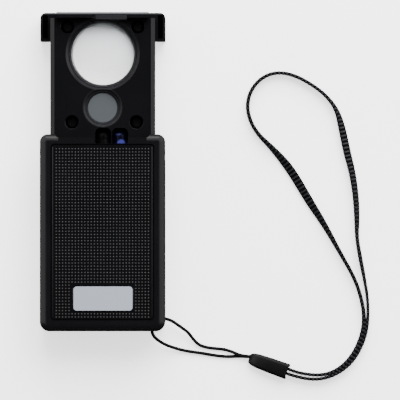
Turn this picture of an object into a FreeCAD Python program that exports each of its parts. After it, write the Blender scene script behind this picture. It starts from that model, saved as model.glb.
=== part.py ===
import FreeCAD, Part

import math
import os
import re

import Sketcher

# A pull-out pocket magnifier with two lenses, two lamps and a wrist strap.
# It lies on the eye side of its case with the lens slide drawn out along +Y.
# The origin is at the middle of the outstretched instrument, on the table.

os.makedirs("parts", exist_ok=True)
doc = FreeCAD.newDocument("pocket_magnifier")
sheet = doc.addObject("Spreadsheet::Sheet", "Sizes")
places = doc.addObject("Spreadsheet::Sheet", "Places")

# Driving dimensions in millimetres, angles in degrees.
SIZES = [
    ("case_width", 39.2, "outside width of the case"),
    ("case_length", 61.6, "foot to the tips of the horns"),
    ("case_thickness", 17.5, "rear face to front face"),
    ("front_height", 7.8, "height of the front shell"),
    ("case_wall", 1.6, "side walls and foot wall"),
    ("floor_thickness", 1.6, "rear wall of the case"),
    ("roof_thickness", 1.8, "front wall under the grip panel"),
    ("foot_corner_radius", 3.0, "plan corners at the foot"),
    ("mouth_corner_radius", 2.4, "plan corners at the mouth"),
    ("front_edge_radius", 2.2, "rounding round the front face"),
    ("rear_edge_radius", 1.5, "rounding round the rear face"),
    ("running_gap", 0.3, "between the slide and the case"),
    ("fit_gap", 0.1, "between pieces that are pushed together"),
    ("overrun", 2.0, "how far cuts run past a face"),
    ("horn_reach", 1.0, "horns stand past the front edge by this"),
    ("horn_width", 4.9, "width of a horn"),
    ("horn_corner_radius", 0.9, "inner corner of a horn"),
    ("notch_left", 2.4, "lamp notch, left of the middle"),
    ("notch_right", 8.0, "lamp notch, right of the middle"),
    ("notch_depth", 1.9, "lamp notch from the front edge"),
    ("notch_corner_radius", 0.6, "inner corners of the lamp notch"),
    ("recess_from_side", 3.4, "panel recess from the case's side"),
    ("recess_from_foot", 3.5, "panel recess from the foot"),
    ("recess_from_edge", 2.0, "panel recess from the front edge"),
    ("recess_depth", 0.8, "panel recess depth"),
    ("recess_corner_radius", 1.2, "panel recess corners"),
    ("panel_gap", 0.35, "groove round the grip panel"),
    ("panel_thickness", 0.7, "grip panel"),
    ("badge_width", 18.4, "badge plate"),
    ("badge_height", 7.5, "badge plate along the case"),
    ("badge_radius", 1.0, "badge plate corners"),
    ("badge_thickness", 0.5, "badge plate"),
    ("badge_sink", 0.4, "depth of its bed in the panel"),
    ("badge_from_foot", 10.3, "middle of the badge from the foot"),
    ("badge_shift", 0.2, "middle of the badge, right of the axis"),
    ("tongue_depth", 1.0, "front shell tongue into the rear shell"),
    ("tongue_thickness", 0.6, "front shell tongue"),
    ("tongue_from_foot", 6.0, "start of the side tongues and guide ribs"),
    ("foot_tongue_gap", 0.8, "tongue at the foot wall, clear of the fin"),
    ("rear_rib_height", 3.4, "rear guide ribs above the floor"),
    ("front_rib_height", 3.1, "front guide ribs below the roof"),
    ("roof_rib_width", 1.0, "ribs that guide the slide's face"),
    ("roof_rib_spacing", 25.0, "between the middles of those ribs"),
    ("stop_length", 2.0, "stop block that holds the slide in"),
    ("stop_drop", 1.3, "stop block top below the joint line"),
    ("cord_hole", 1.6, "bore of the two cord holes"),
    ("cord_hole_height", 4.5, "cord holes above the table"),
    ("side_hole_from_foot", 3.6, "cord hole in the side wall"),
    ("foot_hole_inset", 4.3, "cord hole in the foot wall, from the side"),
    ("fin_thickness", 0.6, "switch fin on the foot wall"),
    ("fin_inset", 5.2, "switch fin from the slide's side"),
    ("fin_length", 2.5, "switch fin from the foot wall"),
    ("fin_height", 3.0, "switch fin"),
    ("hatch_width", 15.0, "battery window in the rear wall"),
    ("hatch_length", 16.0, "battery window along the case"),
    ("hatch_ledge", 1.2, "ledge round the battery window"),
    ("hatch_plate", 0.8, "outer plate of the hatch"),
    ("hatch_sink", 0.1, "hatch below the rear face"),
    ("hatch_grip_width", 0.7, "finger grooves in the hatch"),
    ("hatch_grip_length", 6.0, "finger grooves in the hatch"),
    ("hatch_grip_depth", 0.3, "finger grooves in the hatch"),
    ("hatch_grip_pitch", 1.5, "finger grooves in the hatch"),
    ("travel", 37.1, "how far the slide runs in"),
    ("guide_rib", 1.3, "guide ribs beside the slide"),
    ("slide_thickness", 11.9, "lens slide"),
    ("slide_wall", 1.2, "side walls of the slide"),
    ("slide_plate", 1.2, "front and rear plates of the slide"),
    ("rear_tray_height", 6.0, "rear half of the slide"),
    ("slide_corner_radius", 2.5, "foot corners of the slide"),
    ("rail_width", 1.3, "raised rails of the front plate"),
    ("rail_height", 0.4, "raised rails of the front plate"),
    ("rail_drop", 0.75, "slope of the rails towards the sides"),
    ("cap_thickness", 1.8, "end cap of the slide"),
    ("cap_corner_radius", 1.7, "plan corners of the end cap"),
    ("cap_table_gap", 0.3, "end cap above the table"),
    ("head_drop", 1.0, "top of the cap below the front face"),
    ("head_edge_radius", 0.7, "outer edge of the cap"),
    ("wing_length", 7.1, "side wings of the cap"),
    ("wing_wall", 0.8, "outer wall and floor of a wing"),
    ("wing_end_wall", 0.8, "end walls of a wing"),
    ("wing_web", 0.3, "hollow of a wing from its inner face"),
    ("wing_bevel", 0.5, "bevel of the cap beside its head"),
    ("tab_reach", 0.45, "thumb tab past the cap"),
    ("tab_corner_radius", 0.4, "thumb tab corners"),
    ("tab_from_end", 0.9, "slope of the thumb tab, from the cap's end"),
    ("tab_drop", 0.8, "slope of the thumb tab"),
    ("hook_length", 2.0, "catch on the slide's side"),
    ("hook_reach", 1.3, "catch on the slide's side"),
    ("hook_height", 1.8, "catch on the slide's side"),
    ("hook_from_foot", 2.6, "catch from the slide's foot"),
    ("main_lens_from_cap", 0.55, "rim of the large lens from the cap"),
    ("main_lens_diameter", 21.2, "large lens"),
    ("main_lens_radius", 20.2, "its two faces"),
    ("main_lens_edge", 1.6, "its rim"),
    ("main_lens_land", 0.9, "flat rim round its domes"),
    ("main_ring_play", 0.3, "ring and seat, wider than the domes"),
    ("main_well_flare", 0.85, "flare of the large well"),
    ("main_collar_wall", 1.2, "collar round the large lens"),
    ("main_seat_depth", 0.85, "rim seat below the joint line"),
    ("ring_height", 2.7, "ring that holds the large lens"),
    ("ring_bevel", 0.6, "inner bevel of the ring"),
    ("eye_step", 0.35, "eye side opening, inside the seat"),
    ("lens_spacing", 0.75, "between the large lens and the barrel"),
    ("barrel_diameter", 11.0, "barrel of the small lenses"),
    ("barrel_wall", 0.6, "barrel of the small lenses"),
    ("barrel_lip", 0.6, "front lip of the barrel"),
    ("lip_bevel", 0.45, "bevel of the barrel's lip"),
    ("barrel_seat", 0.4, "barrel ends into the two plates"),
    ("lip_reach", 0.3, "the lip over the front lens"),
    ("small_well_flare", 0.6, "flare of the small well"),
    ("small_well_step", 0.1, "small well inside the barrel"),
    ("small_collar_wall", 0.8, "collar round the barrel"),
    ("small_collar_height", 2.0, "collar round the barrel"),
    ("small_lens_radius", 9.5, "faces of the small lenses"),
    ("small_lens_edge", 0.7, "rims of the small lenses"),
    ("small_lens_land", 0.45, "flat rims round the domes"),
    ("spacer_height", 3.2, "between the small lenses"),
    ("small_eye_step", 0.1, "eye side opening, inside the domes"),
    ("screw_well", 4.1, "counterbore over each screw"),
    ("well_bevel", 0.2, "bevel round each counterbore"),
    ("screw_boss", 5.7, "boss round each screw"),
    ("screw_seat_depth", 4.3, "screw seat below the front plate"),
    ("screw_head", 3.6, "slide screws"),
    ("screw_head_height", 1.4, "slide screws"),
    ("screw_shank", 2.0, "slide screws"),
    ("screw_grip", 5.2, "shank below the head"),
    ("screw_post", 4.4, "posts in the rear half"),
    ("screw_hole_gap", 0.1, "round the shank"),
    ("top_screw_from_end", 4.5, "upper screws from the cap"),
    ("top_screw_half", 11.0, "upper screws from the axis"),
    ("low_screw_drop", 4.6, "lower screws past the small lenses"),
    ("low_screw_left", 9.6, "lower screw, left of the axis"),
    ("low_screw_right", 10.6, "lower screw, right of the axis"),
    ("lamp_diameter", 5.0, "lamps"),
    ("lamp_length", 8.0, "lamps, tip to back"),
    ("lamp_gap", 1.2, "lamp tips from the barrel"),
    ("lamp_left", 0.2, "axis of the left lamp"),
    ("lamp_right", 5.5, "axis of the right lamp"),
    ("lamp_axis_depth", 3.8, "lamp axis below the slide's front"),
    ("lamp_lead", 0.5, "lamp leads"),
    ("lamp_lead_spacing", 2.54, "between the leads"),
    ("trough_width", 5.0, "lamp troughs in the front plate"),
    ("trough_margin", 0.3, "troughs past the lamps"),
    ("trough_corner_radius", 1.6, "upper corners of the troughs"),
    ("bay_gap", 0.2, "round the battery bay"),
    ("cell_play", 0.3, "round the button cells"),
    ("bay_wall", 1.0, "battery bay wall"),
    ("bay_wall_height", 3.2, "battery bay wall above the plate"),
    ("bay_lip", 0.35, "snap lips that hold the cells"),
    ("bay_lip_height", 0.6, "snap lips that hold the cells"),
    ("bay_lip_width", 3.0, "snap lips that hold the cells"),
    ("bay_slot", 3.6, "slot in the bay wall for the contact"),
    ("cell_diameter", 11.6, "button cells"),
    ("cell_height", 3.05, "button cells"),
    ("cell_cap_diameter", 9.0, "negative face of a cell"),
    ("cell_step", 0.25, "step round the negative face"),
    ("board_level", 3.4, "circuit board above the slide's back"),
    ("board_thickness", 1.0, "circuit board"),
    ("board_head_gap", 0.4, "upper edge of the board past the lamp tips"),
    ("board_foot_gap", 0.8, "lower edge of the board past the lamps"),
    ("board_right_gap", 2.4, "board from the right wall"),
    ("board_left_gap", 0.8, "board from the left wall"),
    ("arm_right", 6.7, "right edge of the upper arm"),
    ("arm_reach", 6.6, "upper arm past the small lenses"),
    ("leg_right", 7.5, "right edge of the lower leg"),
    ("leg_reach", 3.4, "lower leg past the battery axis"),
    ("resistor_diameter", 1.8, "resistors"),
    ("resistor_length", 4.2, "resistors"),
    ("resistor_pitch", 3.0, "between the resistors"),
    ("resistor_inset", 2.1, "upper resistor from the board's edge"),
    ("resistor_from_axis", 9.0, "resistors, left of the axis"),
    ("resistor_lead", 0.6, "resistor leads"),
    ("leaf_thickness", 0.3, "brass contacts"),
    ("leaf_height", 3.0, "brass contacts"),
    ("side_leaf_width", 2.6, "contact beside the cells"),
    ("side_leaf_foot", 2.6, "its foot on the board"),
    ("top_leaf_width", 7.0, "contact over the cells"),
    ("top_leaf_tail", 9.6, "its tail, left of the bay axis"),
    ("top_leaf_dimple", 2.4, "spring dimple over the cells"),
    ("power_leaf_length", 14.0, "leaves of the power switch"),
    ("power_leaf_gap", 1.3, "between the two power leaves"),
    ("power_leaf_from_foot", 1.6, "power leaves from the slide's foot"),
    ("leaf_block_length", 2.4, "block that carries the power leaves"),
    ("leaf_block_margin", 0.6, "block past the leaves on each side"),
    ("leaf_block_from_foot", 8.0, "block from the slide's foot"),
    ("board_post", 1.6, "posts under the circuit board"),
    ("board_post_inset", 1.2, "posts from the edges of the board"),
    ("board_hole_gap", 0.2, "round the screw post"),
    ("eye_bevel", 0.8, "bevel round the eye side openings"),
    ("selector_rise", 2.8, "selector switch above the small lenses"),
    ("selector_travel", 2.5, "run of the selector knob"),
    ("selector_body_width", 4.0, "selector switch"),
    ("selector_body_length", 7.6, "selector switch"),
    ("knob_width", 2.6, "selector knob"),
    ("knob_length", 3.0, "selector knob"),
    ("knob_sink", 0.05, "knob below the slide's back"),
    ("knob_flange", 0.5, "knob flange behind the plate"),
    ("knob_flange_height", 0.35, "knob flange behind the plate"),
    ("knob_groove", 0.4, "grooves across the knob"),
    ("knob_groove_pitch", 0.9, "grooves across the knob"),
    ("knob_groove_depth", 0.25, "grooves across the knob"),
    ("cord_diameter", 0.75, "cord loop"),
    ("clip_length", 12.4, "strap clip"),
    ("clip_nose_width", 2.8, "strap clip at the cord"),
    ("clip_nose_height", 2.5, "strap clip at the cord"),
    ("clip_width", 4.5, "strap clip at the strap"),
    ("clip_height", 3.8, "strap clip at the strap"),
    ("clip_bevel", 0.7, "bevelled edges of the clip"),
    ("clip_nose_x", 45.9, "middle of the clip's nose"),
    ("clip_nose_y", -58.5, "middle of the clip's nose"),
    ("clip_turn", -19.7, "direction of the clip"),
    ("strap_width", 3.0, "woven strap"),
    ("strap_thickness", 0.85, "woven strap"),
    ("strap_lift", 0.05, "strap above the table"),
]

# Places that follow from the driving dimensions.
PLACES = [
    ("half_case", "case_width / 2"),
    ("case_joint", "case_thickness - front_height"),
    ("inner_half", "half_case - case_wall"),
    ("case_edge", "case_length - horn_reach"),
    ("cavity_height", "front_height - recess_depth - roof_thickness"),
    ("recess_head", "case_edge - recess_from_edge"),
    ("horn_inner", "half_case - horn_width"),
    ("cap_proud", "cap_thickness - horn_reach + running_gap"),
    ("instrument_length", "case_length + travel + cap_proud"),
    ("case_foot", "-instrument_length / 2"),
    ("slide_end", "instrument_length / 2"),
    ("slide_back", "floor_thickness + running_gap"),
    ("slide_joint", "slide_back + rear_tray_height"),
    ("front_tray_height", "slide_thickness - rear_tray_height"),
    ("guide_level", "slide_back + slide_thickness + running_gap - case_joint"),
    ("guide_half", "inner_half - guide_rib"),
    ("half_slide", "guide_half - running_gap"),
    ("slide_inner", "half_slide - slide_wall"),
    ("main_lens_dome", "main_lens_diameter - main_lens_land - main_lens_land"),
    ("main_aperture", "main_lens_dome + main_ring_play"),
    ("eye_opening", "main_aperture - eye_step - eye_step"),
    ("main_lens_from_end", "cap_thickness + main_lens_from_cap + main_lens_diameter / 2"),
    ("barrel_from_lens", "main_lens_diameter / 2 + lens_spacing + barrel_diameter / 2"),
    ("small_lens_from_end", "main_lens_from_end + barrel_from_lens"),
    ("barrel_bore", "barrel_diameter - barrel_wall - barrel_wall"),
    ("small_aperture", "barrel_bore - lip_reach - lip_reach"),
    ("small_well_bore", "barrel_diameter - small_well_step - small_well_step"),
    ("small_well_mouth", "small_well_bore + small_well_flare + small_well_flare"),
    ("small_lens_across", "barrel_bore - fit_gap"),
    ("small_lens_dome", "small_lens_across - small_lens_land - small_lens_land"),
    ("small_eye_opening", "small_lens_dome - small_eye_step - small_eye_step"),
    ("low_screw_from_end", "small_lens_from_end + low_screw_drop"),
    ("lamp_tip_from_end", "small_lens_from_end + barrel_diameter / 2 + lamp_gap"),
    ("lamp_back_from_end", "lamp_tip_from_end + lamp_length"),
    ("trough_head", "lamp_tip_from_end - trough_margin"),
    ("trough_foot", "lamp_back_from_end + trough_margin"),
    ("board_head", "lamp_tip_from_end + board_head_gap"),
    ("board_foot", "lamp_back_from_end + board_foot_gap"),
    ("board_half", "slide_inner - board_right_gap"),
    ("board_left", "slide_inner - board_left_gap"),
    ("arm_head", "small_lens_from_end - arm_reach"),
    ("resistor_from_end", "board_head + resistor_inset"),
    ("bay_bore", "cell_diameter + cell_play + cell_play"),
    ("bay_reach", "bay_bore / 2 + bay_wall + bay_gap"),
    ("bay_from_end", "board_foot + bay_reach"),
    ("slide_length", "bay_from_end + bay_reach"),
    ("leg_foot", "bay_from_end + leg_reach"),
    ("face_height", "front_tray_height - rail_height"),
    ("roof_under", "face_height - slide_plate"),
    ("rail_half", "half_slide - rail_width"),
    ("wing_foot", "cap_thickness + wing_length"),
    ("notch_length", "wing_foot - cap_proud + running_gap"),
    ("notch_start", "case_length - notch_length"),
    ("wing_bottom", "cap_table_gap - slide_back"),
    ("wing_top", "case_joint - running_gap - slide_back"),
    ("wing_inner", "guide_half + running_gap"),
    ("head_top", "case_thickness - head_drop - slide_back"),
    ("head_half", "horn_inner - running_gap"),
    ("hook_outer", "half_slide + hook_reach"),
    ("hook_foot", "slide_length - hook_from_foot"),
    ("hook_head", "hook_foot - hook_length"),
    ("recess_width", "case_width - recess_from_side - recess_from_side"),
    ("fin_from_axis", "half_slide - fin_inset"),
    ("foot_tongue_half", "fin_from_axis - foot_tongue_gap"),
    ("foot_hole_from_axis", "half_case - foot_hole_inset"),
    ("stop_from_foot", "instrument_length - hook_head + running_gap"),
    ("hatch_from_foot", "instrument_length - bay_from_end"),
    ("hatch_low", "hatch_from_foot - hatch_length / 2"),
    ("hatch_high", "hatch_from_foot + hatch_length / 2"),
    ("main_bore", "main_lens_diameter + fit_gap + fit_gap"),
    ("main_collar", "main_bore + main_collar_wall + main_collar_wall"),
    ("main_well_mouth", "main_bore + main_well_flare + main_well_flare"),
    ("main_seat", "rear_tray_height - main_seat_depth"),
    ("ring_level", "main_seat + main_lens_edge"),
    ("barrel_hole", "barrel_diameter + fit_gap + fit_gap"),
    ("small_collar", "barrel_hole + small_collar_wall + small_collar_wall"),
    ("selector_from_axis", "(small_collar / 2 + slide_inner) / 2"),
    ("selector_from_end", "small_lens_from_end - selector_rise"),
    ("barrel_level", "slide_plate - barrel_seat"),
    ("barrel_height", "rear_tray_height + roof_under + barrel_seat - barrel_level"),
    ("screw_seat", "face_height - screw_seat_depth"),
    ("screw_tip", "rear_tray_height + screw_seat - screw_grip"),
    ("screw_hole", "screw_shank + screw_hole_gap + screw_hole_gap"),
    ("lamp_axis", "slide_thickness - lamp_axis_depth"),
    ("board_top", "board_level + board_thickness"),
    ("board_hole", "screw_post + board_hole_gap + board_hole_gap"),
    ("fin_middle", "fin_from_axis + fin_thickness / 2"),
    ("cells_top", "bay_lip_height + cell_height + cell_height + cell_height"),
    ("roof_level", "rear_tray_height + roof_under"),
    ("knob_slot_half", "knob_length / 2 + selector_travel / 2 + fit_gap"),
    ("knob_rest", "selector_from_end - selector_travel / 2"),
]

KNOWN = {}


def bound(text):
    """Give an expression in which every size names its sheet."""
    return re.sub(r"[a-z_]{3,}", lambda found: KNOWN[found.group(0)], text)


def value(text):
    return float(sheet.evalExpression(bound(text)))


def fill_sheets():
    for row, (alias, size, note) in enumerate(SIZES, 1):
        sheet.set(f"A{row}", note)
        sheet.set(f"B{row}", str(size))
        sheet.setAlias(f"B{row}", alias)
        KNOWN[alias] = f"Sizes.{alias}"
    for row, (alias, text) in enumerate(PLACES, 1):
        KNOWN[alias] = f"Places.{alias}"
        places.set(f"A{row}", alias.replace("_", " "))
        places.set(f"B{row}", "=" + bound(text))
        places.setAlias(f"B{row}", alias)
    doc.recompute()


def put(piece, x="0", y="0", z="0"):
    """Bind the place of a piece to the sheets."""
    piece.setExpression("Placement.Base.x", bound(x))
    piece.setExpression("Placement.Base.y", bound(y))
    piece.setExpression("Placement.Base.z", bound(z))
    return piece


def new_body(label, x="0", y="0", z="0"):
    body = doc.addObject("PartDesign::Body", label)
    body.Label = label
    return put(body, x, y, z)


def new_sketch(body, plane, level):
    support = [part for part in body.Origin.OriginFeatures if part.Role == plane][0]
    sketch = body.newObject("Sketcher::SketchObject", "sketch")
    sketch.AttachmentSupport = [(support, "")]
    sketch.MapMode = "FlatFace"
    sketch.setExpression("AttachmentOffset.Base.z", bound(level))
    return sketch


def pin_point(sketch, shape, end, x, y):
    """Fix a point of the sketch at a place given by two expressions."""
    for kind, text in (("DistanceX", x), ("DistanceY", y)):
        row = sketch.addConstraint(Sketcher.Constraint(kind, -1, 1, shape, end, value(text)))
        sketch.setExpression(f"Constraints[{row}]", bound(text))


def outline(body, corners, plane="XY_Plane", level="0"):
    """Draw a closed outline through corners, each two expressions."""
    sketch = new_sketch(body, plane, level)
    add_outline(sketch, corners)
    return sketch


def add_outline(sketch, corners):
    first = sketch.GeometryCount
    count = len(corners)
    points = [FreeCAD.Vector(value(x), value(y), 0) for x, y in corners]
    for side in range(count):
        sketch.addGeometry(Part.LineSegment(points[side], points[(side + 1) % count]), False)
    for side in range(count):
        following = first + (side + 1) % count
        sketch.addConstraint(Sketcher.Constraint("Coincident", first + side, 2, following, 1))
    for side, (x, y) in enumerate(corners):
        pin_point(sketch, first + side, 1, x, y)


def box_corners(left, low, right, high):
    return [(left, low), (right, low), (right, high), (left, high)]


def rectangle(body, left, low, right, high, plane="XY_Plane", level="0"):
    return outline(body, box_corners(left, low, right, high), plane, level)


def add_circle(sketch, x, y, diameter):
    centre = FreeCAD.Vector(value(x), value(y), 0)
    circle = Part.Circle(centre, FreeCAD.Vector(0, 0, 1), value(diameter) / 2)
    shape = sketch.addGeometry(circle, False)
    pin_point(sketch, shape, 3, x, y)
    row = sketch.addConstraint(Sketcher.Constraint("Diameter", shape, value(diameter)))
    sketch.setExpression(f"Constraints[{row}]", bound(diameter))


def circles(body, rounds, plane="XY_Plane", level="0"):
    """Draw circles, each two expressions for its middle and one for its bore."""
    sketch = new_sketch(body, plane, level)
    for x, y, diameter in rounds:
        add_circle(sketch, x, y, diameter)
    return sketch


def add(body, sketch, length, downward=False):
    """Pad a sketch, upwards from its plane unless told otherwise."""
    before = body.Tip.Shape.Volume if body.Tip else 0
    feature = body.newObject("PartDesign::Pad", "pad")
    feature.Profile = sketch
    feature.Reversed = downward
    feature.setExpression("Length", bound(length))
    doc.recompute()
    if feature.Shape.Volume <= before:
        raise ValueError(f"{body.Label}: a pad adds nothing")
    return feature


def cut(body, sketch, depth, upward=True):
    """Pocket a sketch, upwards from its plane unless told otherwise."""
    before = body.Tip.Shape.Volume
    feature = body.newObject("PartDesign::Pocket", "pocket")
    feature.Profile = sketch
    feature.Reversed = upward
    feature.setExpression("Length", bound(depth))
    doc.recompute()
    if feature.Shape.Volume >= before:
        raise ValueError(f"{body.Label}: a pocket cuts nothing")
    return feature


def chosen_edges(feature, test):
    return [f"Edge{row}" for row, edge in enumerate(feature.Shape.Edges, 1) if test(edge)]


def soften(body, test, radius, kind="PartDesign::Fillet"):
    """Round or chamfer the edges of the latest feature that pass the test."""
    base = body.Tip
    names = chosen_edges(base, test)
    if not names:
        raise ValueError(f"{body.Label}: no edge to round")
    feature = body.newObject(kind, "edge")
    feature.Base = (base, names)
    feature.setExpression("Radius" if kind.endswith("Fillet") else "Size", bound(radius))
    doc.recompute()
    return feature


def near(one, other):
    return abs(one - other) < 0.01


def standing_at(*spots):
    """Test for upright edges at places given by two expressions each."""
    wanted = [(value(x), value(y)) for x, y in spots]

    def test(edge):
        if len(edge.Vertexes) != 2:
            return False
        low, high = (corner.Point for corner in edge.Vertexes)
        if not (near(low.x, high.x) and near(low.y, high.y)):
            return False
        return any(near(low.x, x) and near(low.y, y) for x, y in wanted)

    return test


def rim_at(level, half, low="", high=""):
    """Test for edges of a level plane that lie on the outside of the piece."""
    height = value(level)
    reach = value(half)
    ends = [value(text) for text in (low, high) if text]

    def test(edge):
        box = edge.BoundBox
        if not (near(box.ZMin, height) and near(box.ZMax, height)):
            return False
        outside = near(abs(box.XMin), reach) or near(abs(box.XMax), reach)
        at_end = any(near(box.YMin, end) or near(box.YMax, end) for end in ends)
        return outside or at_end

    return test


def far_edge_at(level):
    """Test for edges of a level plane that lie at the far end of the piece."""
    height = value(level)

    def test(edge):
        box = edge.BoundBox
        return near(box.ZMin, height) and near(box.ZMax, height) and near(box.YMin, 0)

    return test


def finish(piece, label):
    piece.Label = label
    return piece


def cone_cut(body, x, y, level, low, high, height):
    """Cut an upright cone between two diameters."""
    before = body.Tip.Shape.Volume
    cone = body.newObject("PartDesign::SubtractiveCone", "cone")
    support = [part for part in body.Origin.OriginFeatures if part.Role == "XY_Plane"][0]
    cone.AttachmentSupport = [(support, "")]
    cone.MapMode = "FlatFace"
    cone.setExpression("AttachmentOffset.Base.x", bound(x))
    cone.setExpression("AttachmentOffset.Base.y", bound(y))
    cone.setExpression("AttachmentOffset.Base.z", bound(level))
    cone.setExpression("Radius1", bound(f"({low}) / 2"))
    cone.setExpression("Radius2", bound(f"({high}) / 2"))
    cone.setExpression("Height", bound(height))
    doc.recompute()
    if cone.Shape.Volume >= before:
        raise ValueError(f"{body.Label}: a cone cuts nothing")
    return cone


def make_front_shell():
    body = new_body("front_shell", y="case_foot", z="case_joint")
    add(body, rectangle(body, "-half_case", "0", "half_case", "case_length"), "front_height")
    soften(body, standing_at(("-half_case", "0"), ("half_case", "0")), "foot_corner_radius")
    mouth_corners = standing_at(("-half_case", "case_length"), ("half_case", "case_length"))
    soften(body, mouth_corners, "mouth_corner_radius")
    soften(body, rim_at("front_height", "half_case", "0", "case_length"), "front_edge_radius")
    gap = rectangle(body, "-horn_inner", "case_edge", "horn_inner", "case_length + overrun")
    cut(body, gap, "front_height + overrun")
    soften(body, standing_at(("-horn_inner", "case_edge"), ("horn_inner", "case_edge")),
           "horn_corner_radius")
    bar_half = "(horn_inner - horn_corner_radius)"
    bar = rectangle(body, f"-{bar_half}", "case_length - front_edge_radius", bar_half, "case_edge",
                    level="front_height - front_edge_radius")
    add(body, bar, "front_edge_radius")
    cavity = rectangle(body, "-inner_half", "case_wall", "inner_half", "case_length + overrun")
    cut(body, cavity, "cavity_height")
    recess = box_corners("-recess_width / 2", "recess_from_foot", "recess_width / 2", "recess_head")
    cut(body, outline(body, recess, level="front_height - recess_depth"), "recess_depth + overrun")
    soften(body, standing_at(*recess), "recess_corner_radius")
    notch_low = "case_edge - notch_depth"
    notch = rectangle(body, "-notch_left", notch_low, "notch_right", "case_edge + overrun")
    cut(body, notch, "front_height + overrun")
    soften(body, standing_at(("-notch_left", notch_low), ("notch_right", notch_low)),
           "notch_corner_radius")
    for side in ("-", ""):
        add_front_guides(body, side)
    tongue = rectangle(body, "-foot_tongue_half", "case_wall + fit_gap", "foot_tongue_half",
                       "case_wall + fit_gap + tongue_thickness")
    add(body, tongue, "tongue_depth", downward=True)
    root = rectangle(body, "-foot_tongue_half", "case_wall", "foot_tongue_half",
                     "case_wall + fit_gap + tongue_thickness")
    add(body, root, "tongue_depth")
    return body


def add_front_guides(body, side):
    """Ribs that guide the slide, and the tongue that enters the rear shell."""
    guide = rectangle(body, f"{side}inner_half", "tongue_from_foot", f"{side}guide_half",
                      "notch_start", level="cavity_height - front_rib_height")
    add(body, guide, "front_rib_height")
    middle = f"{side}roof_rib_spacing / 2"
    roof_rib = rectangle(body, f"{middle} - roof_rib_width / 2", "case_wall",
                         f"{middle} + roof_rib_width / 2", "recess_head", level="guide_level")
    add(body, roof_rib, "cavity_height - guide_level")
    inner = f"{side}(inner_half - fit_gap - tongue_thickness)"
    tongue_head = "notch_start - overrun"
    tongue = rectangle(body, f"{side}(inner_half - fit_gap)", "tongue_from_foot", inner, tongue_head)
    add(body, tongue, "tongue_depth", downward=True)
    root = rectangle(body, f"{side}inner_half", "tongue_from_foot", inner, tongue_head)
    add(body, root, "tongue_depth")


def make_rear_shell():
    body = new_body("rear_shell", y="case_foot")
    add(body, rectangle(body, "-half_case", "0", "half_case", "case_edge"), "case_joint")
    soften(body, standing_at(("-half_case", "0"), ("half_case", "0")), "foot_corner_radius")
    cavity = rectangle(body, "-inner_half", "case_wall", "inner_half", "case_length + overrun",
                       level="floor_thickness")
    cut(body, cavity, "case_joint")
    soften(body, rim_at("0", "half_case", "0"), "rear_edge_radius")
    for side in ("-", ""):
        notch = rectangle(body, f"{side}guide_half", "notch_start",
                          f"{side}(half_case + overrun)", "case_length + overrun")
        cut(body, notch, "case_joint")
        rib = rectangle(body, f"{side}inner_half", "tongue_from_foot", f"{side}guide_half",
                        "notch_start", level="floor_thickness")
        add(body, rib, "rear_rib_height")
        stop = rectangle(body, f"{side}inner_half", "stop_from_foot", f"{side}guide_half",
                         "stop_from_foot + stop_length", level="floor_thickness")
        add(body, stop, "case_joint - floor_thickness - stop_drop")
    window = rectangle(body, "-hatch_width / 2", "hatch_low", "hatch_width / 2", "hatch_high")
    cut(body, window, "floor_thickness")
    ledge = rectangle(body, "-(hatch_width / 2 + hatch_ledge)", "hatch_low - hatch_ledge",
                      "hatch_width / 2 + hatch_ledge", "hatch_high + hatch_ledge")
    cut(body, ledge, "hatch_plate + hatch_sink")
    foot_hole = circles(body, [("foot_hole_from_axis", "cord_hole_height", "cord_hole")],
                        plane="XZ_Plane", level="overrun")
    cut(body, foot_hole, "case_wall + overrun + overrun", upward=False)
    side_hole = circles(body, [("side_hole_from_foot", "cord_hole_height", "cord_hole")],
                        plane="YZ_Plane", level="inner_half - overrun")
    cut(body, side_hole, "case_wall + overrun + overrun")
    fin = rectangle(body, "fin_from_axis", "case_wall", "fin_from_axis + fin_thickness",
                    "case_wall + fin_length", level="slide_back + board_top")
    add(body, fin, "fin_height")
    return body


def make_grip_panel():
    body = new_body("grip_panel", y="case_foot", z="case_thickness - recess_depth")
    plate = box_corners("-(recess_width / 2 - panel_gap)", "recess_from_foot + panel_gap",
                        "recess_width / 2 - panel_gap", "recess_head - panel_gap")
    add(body, outline(body, plate), "panel_thickness")
    soften(body, standing_at(*plate), "recess_corner_radius - panel_gap")
    bed = badge_corners("fit_gap")
    cut(body, outline(body, bed, level="panel_thickness - badge_sink"), "badge_sink + overrun")
    soften(body, standing_at(*bed), "badge_radius")
    return body


def badge_corners(margin):
    half = f"(badge_width / 2 + {margin})"
    low = f"badge_from_foot - badge_height / 2 - {margin}"
    high = f"badge_from_foot + badge_height / 2 + {margin}"
    return box_corners(f"badge_shift - {half}", low, f"badge_shift + {half}", high)


def make_badge_plate():
    level = "case_thickness - recess_depth + panel_thickness - badge_sink"
    body = new_body("badge_plate", y="case_foot", z=level)
    plate = badge_corners("0")
    add(body, outline(body, plate), "badge_thickness")
    soften(body, standing_at(*plate), "badge_radius")
    return body


def make_battery_hatch():
    body = new_body("battery_hatch", y="case_foot + hatch_from_foot", z="hatch_sink")
    half = "(hatch_width / 2 + hatch_ledge - fit_gap)"
    reach = "(hatch_length / 2 + hatch_ledge - fit_gap)"
    add(body, rectangle(body, f"-{half}", f"-{reach}", half, reach), "hatch_plate")
    inner = rectangle(body, "-(hatch_width / 2 - fit_gap)", "-(hatch_length / 2 - fit_gap)",
                      "hatch_width / 2 - fit_gap", "hatch_length / 2 - fit_gap",
                      level="hatch_plate")
    add(body, inner, "floor_thickness - hatch_plate - hatch_sink - fit_gap")
    grooves = new_sketch(body, "XY_Plane", "0")
    for step in (-2, -1, 0, 1):
        low = f"hatch_grip_pitch * {step}"
        add_outline(grooves, box_corners("-hatch_grip_length / 2", low, "hatch_grip_length / 2",
                                         f"{low} + hatch_grip_width"))
    cut(body, grooves, "hatch_grip_depth")
    return body


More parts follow.
